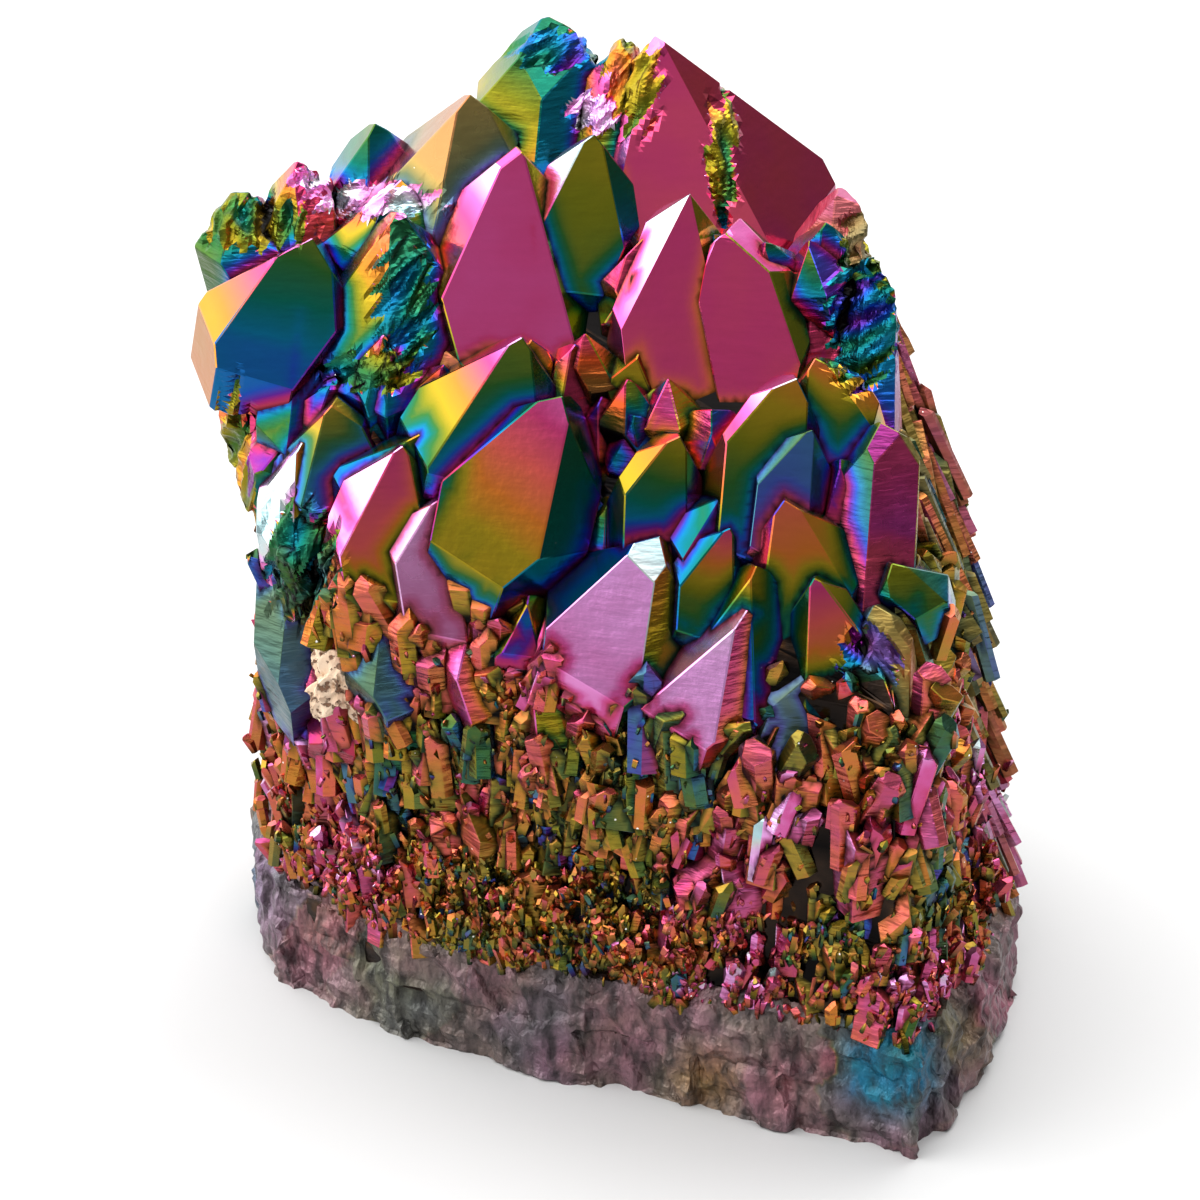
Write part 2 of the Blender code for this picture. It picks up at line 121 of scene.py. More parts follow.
TIPS = [
    # the ridge, from left to right
    Tip(297, 161, 258, 336, 222, 30, -8, -3.0, coat=Coat((.82, .86), (.2, .6), (.8, .9), 2, .8)),
    Tip(375, 123, 328, 424, 195, 30, 0, -6.0, coat=Coat((.55, .78), (.5, .7), (.6, .8), 3, .3)),
    Tip(470, 94, 330, 507, 212, 18, 4, 0.5, coat=Coat((.44, .54), (.36, .42), (.46, .58), 3, .15, .45)),
    Tip(556, 12, 466, 630, 150, 30, 8, -2.0, 2.2, coat=Coat((.6, .66), (.64, .3), (.5, .5), 2, .5)),
    Tip(628, 34, 572, 676, 140, 8, 0, -1.5, 1.4, coat=Coat((.3, .5), (.0, .4), (.4, .2), 2, 1)),
    Tip(655, 35, 566, 830, 222, 4, -8, 0, 0.8, 0.02, coat=Coat((.2, .23), (.08, .14), (.84, .83), 1.2, .05)),
    Tip(236, 186, 202, 330, 250, 8, -10, -1.0, 2.5, coat=Coat((.5, .6), (.58, .5), (.6, .7), 3, 1)),
    Tip(594, 134, 528, 624, 240, 2, 12, 2.0, coat=Coat((.44, .5), (.0, .1), (.5, .68), 2.5, .15)),
    Tip(842, 186, 800, 872, 296, 12, -8, -3.0, 0.8, coat=Coat((.24, .3), (.2, .24), (.3, .4), 1.5, 1, .6)),
    # the large points under the ridge
    Tip(402, 180, 326, 466, 262, 4, 8, -1.0, 1.2, coat=Coat((.36, .54), (.04, .5), (.45, .6), 3, .3)),
    Tip(396, 212, 322, 458, 350, 28, 0, 1.5, coat=Coat((.55, .6), (.27, .52), (.6, .7), 3, .3)),
    Tip(312, 238, 196, 334, 334, -8, 16, 2.0, 0.0, 0.2, coat=Coat((.5, .68), (.1, .37), (.5, .7), 3, .15)),
    Tip(516, 146, 432, 609, 332, -3, 4, 2.5, 0.5, 0.04, coat=Coat((.2, .19), (.0, .5), (.42, .52), 1.3, .05)),
    Tip(690, 194, 604, 722, 372, 2, 12, 3.0, 0.0, 0.0, coat=Coat((.19, .21), (.0, .25), (.4, .5), 1.6, .05)),
    Tip(738, 220, 713, 806, 388, -6, -3, 2.0, 1.4, 0.25, coat=Coat((.2, .21), (.1, .2), (.46, .5), 1.3, .1)),
    Tip(826, 222, 782, 846, 330, 20, 0, -1.0, coat=Coat((.56, .74), (.45, .66), (.6, .75), 3, .7)),
    Tip(872, 256, 830, 906, 396, 14, -8, -2.0, 0.8, coat=Coat((.5, .72), (.5, .6), (.7, .8), 2, 1)),
    # the middle rows
    Tip(522, 337, 403, 537, 436, -2, 18, 3.0, coat=Coat((.46, .56), (.08, .5), (.5, .58), 3, .15)),
    Tip(562, 396, 427, 580, 516, -28, 20, 3.5, coat=Coat((.15, .42), (.5, .6), (.54, .6), 3.5, .1)),
    Tip(602, 396, 586, 645, 462, 30, 0, -2.0, coat=Coat((.8, .9), (.66, .9), (.8, .9), 2, .4)),
    Tip(656, 388, 638, 684, 425, 0, 0, -1.5, 0.8, coat=Coat((.42, .48), (.4, .5), (.5, .6), 1.5, .2)),
    Tip(626, 340, 600, 662, 372, 5, 0, -1.0, 1.8, coat=Coat((.37, .4), (.88, .9), (.9, .94), 1, .2)),
    Tip(680, 436, 606, 699, 514, 0, 27, 2.0, coat=Coat((.42, .66), (.3, .5), (.5, .8), 3, .1)),
    Tip(797, 378, 694, 804, 498, -2, 28, 3.0, 0.0, 0.12, coat=Coat((.36, .57), (.04, .4), (.6, .7), 2, .1)),
    Tip(815, 358, 804, 886, 432, 2, -22, 1.5, coat=Coat((.3, .56), (.3, .4), (.5, .3), 2.5, .1)),
    Tip(812, 430, 742, 820, 510, -10, 24, 2.0, coat=Coat((.66, .7), (.5, .56), (.6, .7), 2, .2, .2)),
    Tip(884, 424, 826, 922, 552, 20, -4, 1.5, 0.8, coat=Coat((.84, .8), (.47, .72), (.44, .4), 3, .6, .1)),
    Tip(733, 490, 668, 748, 534, 8, 25, 0.5, coat=Coat((.56, .66), (.5, .6), (.6, .7), 2, .2)),
    Tip(611, 498, 545, 672, 548, 26, 0, -1.0, coat=Coat((.86, .6), (.3, .7), (.7, .3), 2, .8)),
    Tip(575, 344, 550, 602, 392, 25, 10, -0.5, coat=Coat((.88, .8), (.16, .5), (.6, .8), 1.5, .3)),
    Tip(384, 334, 354, 402, 372, 10, 0, 0.0, coat=Coat((.2, .56), (.1, .6), (.5, .7), 1.5, .3)),
    Tip(338, 398, 268, 392, 466, 8, 0, 1.0, 0.6, coat=Coat((.4, .62), (.28, .46), (.5, .7), 3, .2, .1)),
    Tip(302, 340, 256, 330, 408, 25, 5, 0.5, coat=Coat((.45, .6), (.4, .5), (.6, .66), 2.5, .3)),
    Tip(248, 350, 218, 284, 396, 25, -4, -1.5, coat=Coat((.5, .8), (.58, .3), (.8, .9), 2, .5)),
    Tip(420, 434, 338, 430, 482, 2, 25, 1.0, coat=Coat((.32, .58), (.28, .6), (.2, .3), 2, .3)),
    # the lower rows
    Tip(302, 442, 256, 337, 514, 25, 0, 2.5, coat=Coat((.21, .33), (.0, .02), (.2, .4), 2, .1)),
    Tip(402, 446, 324, 423, 548, 0, 12, 2.5, coat=Coat((.2, .27), (.09, .12), (.3, .45), 2.5, .1)),
    Tip(442, 498, 378, 506, 584, 0, 18, 2.0, coat=Coat((.08, .14), (.06, .08), (.2, .22), 1.5, .2, .45)),
    Tip(655, 538, 540, 706, 640, -28, 15, 2.5, 1.1, coat=Coat((.075, .12), (.66, .62), (.3, .46), 1.5, .15)),
    Tip(730, 528, 666, 738, 590, 0, 27, 1.0, coat=Coat((.18, .5), (.56, .6), (.4, .6), 2, .2)),
    Tip(784, 500, 742, 874, 602, -2, -20, 2, 0, 0.03, coat=Coat((.27, .38), (.67, .88), (.32, .5), 2.5, .1)),
    Tip(756, 566, 692, 824, 662, 30, -3, 1.5, coat=Coat((.36, .58), (.32, .54), (.34, .6), 3, .15)),
    Tip(814, 578, 802, 888, 670, 0, -26, 1.5, coat=Coat((.17, .42), (.6, .3), (.4, .6), 2.5, .1)),
    Tip(747, 610, 636, 784, 692, 30, 15, 1.5, coat=Coat((.19, .23), (.07, .1), (.18, .26), 1.5, .2, .15)),
    Tip(612, 621, 566, 656, 680, 30, 5, 0.5, 0.5, coat=Coat((.12, .46), (.56, .1), (.3, .5), 2, .5, .2)),
    Tip(796, 656, 756, 832, 724, 0, 0, 0.0, 1.5, coat=Coat((.57, .6), (.5, .5), (.58, .2), 1.5, .8, .45)),
    Tip(394, 572, 346, 444, 664, 20, 0, 0.5, 0.8, coat=Coat((.57, .62), (.5, .56), (.54, .7), 1.5, .4, .3)),
    Tip(486, 572, 440, 520, 664, 20, 10, 0.0, 1.0, coat=Coat((.2, .26), (.09, .15), (.2, .4), 1.5, .7)),
    Tip(562, 606, 518, 590, 694, 10, 18, 0.0, coat=Coat((.22, .4), (.09, .14), (.4, .5), 1.5, .4)),
    Tip(300, 512, 254, 338, 650, 20, 0, 0.0, 1.5, coat=Coat((.54, .66), (.46, .6), (.5, .68), 1.5, .8, .35)),
    Tip(876, 608, 836, 922, 690, 10, -15, 0.0, 1.0, coat=Coat((.46, .36), (.6, .3), (.44, .3), 2, 1, .4)),
]

# What the small points in the gaps and the points behind are coated with
GAP_FILMS = (.2, .36, .44, .5, .6, .66, .8)
BACK_FILMS = (.1, .18, .2, .3, .44)
# The core is coated near black: painted shade where it shows through the gaps in the crust.
CORE_SHADE_COAT = Coat((.98, .98), (.98, .98), (.98, .98), 0.6, 0.3, 0.1)
CORE_SPAN, CORE_STEP = 60.0, 5.0

RIND_OUTLINE = [
    (26.0, -30.6), (32.4, -20.0), (37.0, -4.6), (36.2, 12.4), (27.6, 25.0), (8.0, 31.0),
    (-14.0, 30.0), (-27.4, 20.8), (-31.8, 9.0), (-29.2, -2.6), (-18.2, -13.2), (8.0, -23.2),
]
WAIST_SHARE = 0.932  # the core is drawn in more than in the solids, to stay dark behind the crust
# The core at each height: how far it reaches to the left, to the right and back
CHUNK_LEVELS = [
    (26.0, -27.6, 30.4, 27.0), (40.0, -26.5, 30.0, 26.0), (54.0, -26.0, 23.6, 24.0),
    (62.0, -24.0, 19.6, 22.0), (67.0, -14.0, 13.6, 19.0),
]
SIDE_DEPTHS = (7.0, 14.0)

# Columns on the walls: bearings from and to, heights from and to, how many around and up, their size
Band = namedtuple("Band", "start end low high around up width length")
BANDS = [
    Band(-62, 62, 10.0, 39.0, 17, 6, 5.6, 8.6),
    Band(62, 118, 12.0, 60.0, 8, 4, 5.0, 16.0),
    Band(118, 238, 12.0, 56.0, 9, 4, 8.4, 17.0),
    Band(238, 300, 12.0, 58.0, 7, 4, 6.4, 15.0),
]
MIDDLE = Vector((2.0, 4.0, 0.0))

# Crystals over the broken walls: bearings from and to, heights from and to, how many, their width
# at the foot and at the top of the band, length over width, how rough and dull, and how finely cut
Crust = namedtuple("Crust", "kind start end low high count narrow wide stretch rough dull step")
CRUSTS = [
    Crust("front_crust", -76, 66, 12.5, 44.0, 1350, 1.1, 2.9, 2.7, 0.9, 0.26, 1.4),
    Crust("side_crust", 62, 122, 12.0, 62.0, 300, 1.2, 1.9, 6.0, 1.0, 0.6, 2.2),
    Crust("back_crust", 122, 240, 12.0, 58.0, 420, 1.8, 3.4, 3.0, 0.8, 0.4, 2.0),
    Crust("side_crust", 240, 286, 12.0, 58.0, 200, 1.4, 2.6, 3.4, 0.8, 0.4, 1.8),
]
RIGHT_WALL_LEAN = -0.42  # how far the right wall's long splinters lean over, for each mm that they rise
FOOT_CLEAR = 1.35  # how far down a point the crust starts, for each length of its main face
FOOT_LEDGE = 1.9  # how far out the lowest crystals stand, on the rind's top
# Grains in the lower crust: bearings, heights, how many and their smallest and largest width
Grain = namedtuple("Grain", "start end low high count small large")
GRAINS = [Grain(-78, 72, 10.6, 20.0, 1900, 0.35, 0.95), Grain(-78, 72, 18.0, 40.0, 700, 0.35, 0.8),
          Grain(72, 282, 11.5, 30.0, 500, 0.5, 1.1)]

# Where the crust is one colour: picture place, radius there and coating
Patch = namedtuple("Patch", "x y radius film")
PATCHES = [
    Patch(330, 730, 60, .12), Patch(262, 640, 45, .36), Patch(250, 740, 40, .45), Patch(440, 690, 26, .19),
    Patch(474, 730, 24, .60), Patch(515, 720, 20, .24), Patch(400, 840, 60, .28), Patch(350, 880, 40, .10),
    Patch(500, 800, 60, .32), Patch(600, 840, 70, .38), Patch(500, 890, 70, .37), Patch(640, 930, 60, .34),
    Patch(650, 700, 26, .64), Patch(700, 770, 30, .62), Patch(590, 740, 30, .30), Patch(560, 690, 30, .28),
    Patch(740, 760, 26, .22), Patch(790, 740, 36, .55), Patch(820, 800, 30, .40), Patch(860, 830, 36, .16),
    Patch(760, 840, 60, .18), Patch(730, 940, 70, .19), Patch(900, 740, 40, .46), Patch(950, 860, 34, .64),
    Patch(900, 900, 40, .44), Patch(830, 930, 50, .50), Patch(900, 980, 50, .20), Patch(985, 820, 60, .08),
    Patch(960, 600, 80, .42), Patch(680, 850, 30, .50), Patch(380, 760, 26, .70), Patch(300, 800, 34, .24),
]
# The same over the rind, where the last number is how strong the tint is
Stain = namedtuple("Stain", "x y radius film strength")
STAINS = [
    Stain(890, 1066, 42, .63, 2.4), Stain(836, 1062, 24, .22, .5), Stain(704, 1080, 34, .36, .5),
    Stain(400, 965, 60, .5, .3), Stain(500, 990, 50, .2, .15), Stain(620, 1010, 60, .2, .2),
    Stain(780, 1080, 40, .22, .25), Stain(960, 1040, 40, .44, .4), Stain(560, 1060, 40, .18, .2),
    Stain(330, 930, 40, .25, .3), Stain(250, 880, 60, .66, .3), Stain(1000, 1010, 30, .2, .4),
]
# Broken places on the points: picture place, reach across and down, coating and how much it varies,
# and how far its shells lean to the right from upright, in degrees
Break = namedtuple("Break", "x y across down film range lean")
BREAKS = [
    Break(632, 80, 28, 52, .4, .3, 35), Break(600, 112, 30, 20, .08, .2, 45),
    Break(722, 160, 15, 64, .42, .3, -15), Break(374, 200, 66, 18, .1, .3, 55),
    Break(252, 224, 54, 26, .5, .2, 10), Break(306, 178, 24, 10, .16, .2, 45),
    Break(404, 300, 30, 60, .58, .14, 50), Break(372, 372, 44, 20, .52, .2, 60),
    Break(862, 320, 34, 64, .62, .25, 60), Break(868, 246, 26, 40, .47, .2, 70),
    Break(232, 480, 20, 90, .42, .2, 10), Break(870, 660, 30, 34, .62, .3, -40),
    Break(300, 560, 36, 56, .56, .16, 20), Break(560, 50, 50, 20, .66, .2, 60),
]
BREAK_DEPTH = 1.1  # how deep a broken place's shells are
BREAK_STEP = 0.55  # a broken place is cut up this much finer
BREAK_WAVE, WAVE_RUN = 0.25, 0.35  # how far its edge wanders, and how quickly from pixel to pixel
BREAK_BEHIND = 24.0  # nothing further back than this is broken
TAN_PLACE, TAN_SIZE = (343, 684), (2.7, 1.7, 3.2)
RIND_GRAIN = 0.55  # how finely the rind's surface is cut up
SPLINTER_KINDS, SPLINTER_LENGTH = 14, 1.6
SHELL_SIZE, SHELL_GRAIN = (0.55, 0.25, 0.16), (1.3, 0.5, 0.4)  # across, in depth and along, for each mm
LOWEST_GRAIN = 0.2  # no grain reaches further down than this above the floor
PLAIN_FILM, PLAIN_WEIGHT = 0.28, 0.15  # the crust's coating away from the patches
ACCENT_SHARE, ACCENT = 0.09, 0.24  # how many of the crust's crystals stand out in colour, and how far


def front_y(x):
    """Depth of the broken front wall at a place across the cluster."""
    turned_back = max(0.0, TURN_X - x)
    return FRONT_Y - FRONT_SLOPE * x + TURN_CURVE * turned_back ** 2


def crown_y(x, z):
    """Depth of the surface that the tips reach, from the rim up to the ridge."""
    rise = min(1.0, max(0.0, (z - RIM_Z) / (RIDGE_Z - RIM_Z)))
    flat = front_y(x) * (1.0 - rise) + RIDGE_Y * rise
    return flat - CROWN_BULGE * math.sin(math.pi * rise)


def sight(px, py):
    """Direction from the eye through a pixel of the picture."""
    right = Vector((1.0, 0.0, 0.0))
    up = Vector((0.0, math.sin(EYE_TILT), math.cos(EYE_TILT)))
    ahead = Vector((0.0, math.cos(EYE_TILT), -math.sin(EYE_TILT)))
    half = PICTURE_SIDE / 2
    return ahead + right * ((px - half) / FOCAL_PX) + up * ((half - py) / FOCAL_PX)


def pixels_of(places):
    """Where one place or an array of places shows in the front view, in picture pixels."""
    away = np.array(places) - np.array(EYE)
    depth = away[..., 1] * math.cos(EYE_TILT) - away[..., 2] * math.sin(EYE_TILT)
    up = away[..., 1] * math.sin(EYE_TILT) + away[..., 2] * math.cos(EYE_TILT)
    half = PICTURE_SIDE / 2
    return half + FOCAL_PX * away[..., 0] / depth, half - FOCAL_PX * up / depth


def seen_at(px, py, proud):
    """The place on the crown that a pixel shows, brought forward by proud."""
    ray = sight(px, py)
    depth = 0.0
    for _ in range(SETTLING_ROUNDS):
        place = EYE + ray * ((depth - EYE.y) / ray.y)
        depth = 0.5 * (depth + crown_y(place.x, place.z) - proud)
    return EYE + ray * ((depth - EYE.y) / ray.y)


def axes_along(axis):
    """Rotation whose Z is the axis and whose -Y looks to the front as nearly as it can."""
    z_axis = axis.normalized()
    x_axis = Vector((0.0, 1.0, 0.0)).cross(z_axis).normalized()
    y_axis = z_axis.cross(x_axis)
    return Matrix((x_axis, y_axis, z_axis)).transposed()


def grown_way(lean, nod):
    """Direction of a point that leans right by lean and towards the front by nod."""
    foreshortened = math.cos(EYE_TILT) - math.sin(EYE_TILT) * math.tan(math.radians(nod))
    return Vector((foreshortened * math.tan(math.radians(lean)), -math.tan(math.radians(nod)), 1.0))


def facing(turn, lift):
    """Unit vector that turns right from the front by turn and rises by lift."""
    return Vector((math.sin(turn) * math.cos(lift), -math.cos(turn) * math.cos(lift), math.sin(lift)))


def cut_away(bm, point, normal):
    """Cuts off what lies beyond a plane and closes the cut."""
    everything = bm.verts[:] + bm.edges[:] + bm.faces[:]
    cut = bmesh.ops.bisect_plane(
        bm, geom=everything, dist=1e-5, plane_co=point, plane_no=normal, clear_outer=True
    )
    rim = [edge for edge in cut["geom_cut"] if isinstance(edge, bmesh.types.BMEdge)]
    if rim:
        bmesh.ops.holes_fill(bm, edges=rim)


def quartz(width, depth, length, apex_shift, turn, minor_rise, chip, chip_turn):
    """A six-sided prism with its tip at the origin: three large rhomb faces and three minor ones."""
    radius = width / WIDTH_PER_RADIUS
    lift = math.pi / 2 - RHOMB_ANGLE
    bm = bmesh.new()
    spin = Matrix.Rotation(turn, 4, "Z") @ Matrix.Rotation(math.radians(30), 4, "Z")
    deepen = Matrix.Diagonal((1.0, depth / width, 1.0, 1.0))
    place = Matrix.Translation((-apex_shift.x, -apex_shift.y, radius - length / 2))
    bmesh.ops.create_cone(
        bm, cap_ends=True, segments=6, radius1=radius * 0.9, radius2=radius, depth=length + radius * 2,
        matrix=place @ deepen @ spin,
    )
    for third in range(3):
        major = turn + math.radians(120 * third)
        cut_away(bm, Vector(), facing(major, lift))
        minor = major + math.radians(60)
        cut_away(bm, Vector((0, 0, minor_rise * radius)), facing(minor, lift))
    if chip > 0:
        cut_away(bm, Vector((0, 0, -chip)), facing(chip_turn, CHIP_LIFT))
    return bm


def nod_at(z):
    """How far the points at a height lean towards the front."""
    rise = min(1.0, max(0.0, (z - RIM_Z) / (RIDGE_Z - RIM_Z)))
    return RIM_NOD + (RIDGE_NOD - RIM_NOD) * rise


Solid = namedtuple("Solid", "kind normals offsets tones low high tip axis span coat step")


class Growth:
    """Convex crystals grown into one another, gathered before they are cut up finely."""

    def __init__(self):
        self.points, self.owners, self.triangles, self.faces, self.solids = [], [], [], [], []
        self.count = 0

    def add(self, kind, bm, matrix, turn, coat, span, step, rng, bevel=EDGE_BEVEL):
        """Takes in one crystal: its bevelled faces, and the coating that each face has."""
        points, triangles, nearest, normals, centres = faces_of(bm, bevel)
        tones = np.array([face_tone(normal, turn, coat, rng) for normal in normals])
        turned, place = np.array(matrix.to_3x3()), np.array(matrix.translation)
        points, normals, centres = points @ turned.T + place, normals @ turned.T, centres @ turned.T + place
        self.owners.append(np.full(len(points), len(self.solids)))
        self.points.append(points)
        self.triangles.append(triangles + self.count)
        self.faces.append(nearest)
        self.count += len(points)
        self.solids.append(Solid(
            kind, normals, np.einsum("ij,ij->i", normals, centres), tones, points.min(axis=0),
            points.max(axis=0), place, turned[:, 2], span, coat, step,
        ))

    def gathered(self):
        """All corner points, the crystal that each belongs to, triangles and the face that each is in."""
        parts = (self.points, self.owners, self.triangles, self.faces)
        return tuple(np.concatenate(part) for part in parts)


def slopes_of(points, triangles):
    """Each triangle's way out, as long as the triangle is large."""
    sides = points[triangles]
    return np.cross(sides[:, 1] - sides[:, 0], sides[:, 2] - sides[:, 0])


def faces_of(bm, bevel=0.0):
    """Corner points, triangles and the face that each is in; then each face's way out and its middle."""
    bmesh.ops.remove_doubles(bm, verts=bm.verts[:], dist=SAME_PLACE)
    bmesh.ops.dissolve_limit(bm, angle_limit=SAME_FACE, verts=bm.verts[:], edges=bm.edges[:])
    bmesh.ops.recalc_face_normals(bm, faces=bm.faces[:])
    normals = np.array([face.normal[:] for face in bm.faces])
    centres = np.array([face.calc_center_median()[:] for face in bm.faces])
    if bevel:
        bmesh.ops.bevel(
            bm, geom=bm.edges[:], offset=bevel, segments=1, profile=0.5, affect="EDGES", clamp_overlap=True
        )
    bmesh.ops.triangulate(bm, faces=bm.faces[:])
    points, triangles = arrays_of(bm)
    nearest = np.argmax(slopes_of(points, triangles) @ normals.T, axis=1)
    return points, triangles, nearest, normals, centres


def arrays_of(bm):
    """A mesh's corner points and triangles as arrays; the mesh is used up."""
    bm.verts.index_update()
    points = np.array([vertex.co[:] for vertex in bm.verts])
    triangles = np.array([[vertex.index for vertex in face.verts] for face in bm.faces])
    bm.free()
    return points, triangles


def face_tone(normal, main_turn, coat, rng):
    """The coating at the tip and the foot of the face that looks along normal."""
    turn = (math.atan2(normal[0], -normal[1]) - main_turn + math.pi) % (2 * math.pi) - math.pi
    if normal[2] > 0.8:
        start, end = coat.front[0] - 0.06, coat.front[0]
    elif abs(turn) <= FACE_SIDE:
        start, end = coat.front
    elif abs(turn) > math.radians(130):
        start, end = coat.left[0], coat.right[1]
    else:
        start, end = coat.left if turn < 0 else coat.right
    jog = rng.uniform(-0.015, 0.015)
    return max(0.0, start + jog), end + jog


def any_coat(rng, tones, rough, dull=0.0):
    """A coating for a crystal that wasn't set out one by one."""
    pairs = []
    for _ in range(3):
        start = rng.choice(tones) + rng.uniform(-0.04, 0.04)
        pairs.append((start, start + rng.uniform(-0.06, 0.3)))
    return Coat(*pairs, rng.uniform(1.5, 3.0), rng.uniform(0.5, 1.0) * rough, dull)


def named_points(growth):
    """The points that were set out one by one in the front view."""
    rng, tint = random.Random(11), random.Random(1)
    up = Vector((0.0, math.sin(EYE_TILT), math.cos(EYE_TILT)))
    for tip in TIPS:
        apex = seen_at(tip.x, tip.y, tip.proud)
        width = (tip.right - tip.left) * MM_PER_PX * SPREAD
        turn = math.radians(tip.turn)
        off_face = (turn + math.pi / 6) % (math.pi / 3) - math.pi / 6
        turned = axes_along(grown_way(tip.lean, nod_at(apex.z)))
        down = Vector((0.0, -1.0, -math.tan(RHOMB_ANGLE) * math.cos(off_face)))
        reach = UNDERLAP + SPREAD * (tip.foot - tip.y) * MM_PER_PX / -(turned @ down).dot(up)
        lean_drop = (tip.foot - tip.y) * math.tan(math.radians(tip.lean))
        depth = max(width, (reach + BACK_REACH) * 0.5 / APOTHEM_SHARE)
        shift = Vector((
            (tip.x - (tip.left + tip.right) / 2 - lean_drop) * MM_PER_PX,
            max(-0.2 * width, reach - APOTHEM_SHARE * depth),
            0.0,
        ))
        minor = tip.minor + rng.uniform(0.0, 0.08)
        root = ROOT + reach * math.tan(RHOMB_ANGLE)
        bm = quartz(width, depth, root, shift, turn, minor, tip.chip, rng.uniform(-2.0, 2.0))
        span = (reach - UNDERLAP) * math.tan(RHOMB_ANGLE)
        placing = Matrix.Translation(apex) @ turned.to_4x4()
        growth.add("point", bm, placing, turn, tip.coat, span, FINE_STEP, tint)


def covers(tip, px, py):
    """True where a named point's faces hide what stands behind them."""
    share = (py - tip.y) / (tip.foot - tip.y)
    if not -0.1 < share < 1.0:
        return False
    left = tip.x + (tip.left - tip.x) * min(1.0, share * 1.3)
    right = tip.x + (tip.right - tip.x) * min(1.0, share * 1.3)
    return left - GAP_MARGIN < px < right + GAP_MARGIN


def crown_left(py):
    """Left edge of the crown in the picture."""
    if py < LEFT_TURNS:
        return LEFT_EDGE + LEFT_SLOPE * (LEFT_TURNS - py)
    return LEFT_EDGE + LEFT_IN * min(1.0, max(0.0, (py - LEFT_LOW) / LEFT_RUN))


def crown_right(py):
    """Right edge of the crown in the picture."""
    return min(RIGHT_EDGE, RIGHT_START + RIGHT_SLOPE * (py - GAP_TOP))


def gap_points(growth):
    """Smaller points that fill the gaps between the named ones, standing lower than they do."""
    rng, tint = random.Random(5), random.Random(2)
    for row in range(GAP_ROWS):
        for place in range(GAP_PLACES):
            px = GAP_LEFT + GAP_STEP * (place + 0.5 * (row % 2)) + rng.uniform(-0.3, 0.3) * GAP_STEP
            py = GAP_TOP + 0.8 * GAP_STEP * row + rng.uniform(-0.2, 0.2) * GAP_STEP
            proud, width, turn = rng.uniform(-1.5, 0.0), rng.uniform(6.0, 9.0), rng.uniform(0, 60)
            across, lift, minor = rng.uniform(-0.2, 0.2), rng.uniform(-12, 12), rng.uniform(0.0, 0.3)
            if not crown_left(py) < px < crown_right(py) or any(covers(tip, px, py) for tip in TIPS):
                continue
            apex = seen_at(px, py, proud)
            lean = CROWN_LEAN * ((PICTURE_SIDE / 2 - px) / 300 + across)
            shift = Vector((across * width, 0, 0))
            bm = quartz(width, width, width + 1, shift, math.radians(turn), minor, 0.0, 0.0)
            turned = axes_along(grown_way(lean, nod_at(apex.z) + lift)).to_4x4()
            coat = any_coat(tint, GAP_FILMS, 0.6)
            placing = Matrix.Translation(apex) @ turned
            growth.add("gap", bm, placing, 0.0, coat, width * 0.6, FINE_STEP, tint)


def back_points(growth):
    """Points behind the ridge, which the front view doesn't show."""
    rng, tint = random.Random(23), random.Random(4)
    for depth, height, count in BACK_ROWS:
        for place in range(count):
            across = BACK_REACH_X * (2.0 * (place + rng.uniform(0.2, 0.8)) / count - 1.0)
            drop = 0.03 * across ** 2
            apex = Vector((across, depth - 0.1 * drop, height - drop + rng.uniform(-1.5, 1.0)))
            width = rng.uniform(9.0, 13.0)
            shift = Vector((rng.uniform(-0.15, 0.15), rng.uniform(-0.2, 0.0), 0)) * width
            bm = quartz(
                width, width, BACK_ROOT, shift, math.pi + rng.uniform(-0.6, 0.6), rng.uniform(0.0, 0.3),
                rng.choice((0.0, 0.0, 1.2)), math.pi,
            )
            turned = axes_along(grown_way(-0.9 * across, -16.0)).to_4x4()
            coat = any_coat(tint, BACK_FILMS, 0.3)
            placing = Matrix.Translation(apex) @ turned
            growth.add("back", bm, placing, math.pi, coat, width * 0.7, COARSE_STEP, tint)


def column(width, length, rng):
    """A broken quartz column: a thin prism, its top snapped off on the slant."""
    radius = width / 2
    bm = bmesh.new()
    bmesh.ops.create_cone(
        bm, cap_ends=True, segments=rng.choice((4, 4, 5)), radius1=radius * 0.8, radius2=radius,
        depth=length, matrix=Matrix.Rotation(rng.uniform(0, 6), 4, "Z"),
    )
    top = Vector((0, 0, length / 2 - radius * 0.6))
    cut_away(bm, top, facing(rng.uniform(-1.3, 1.3), rng.uniform(0.5, 1.1)))
    return bm


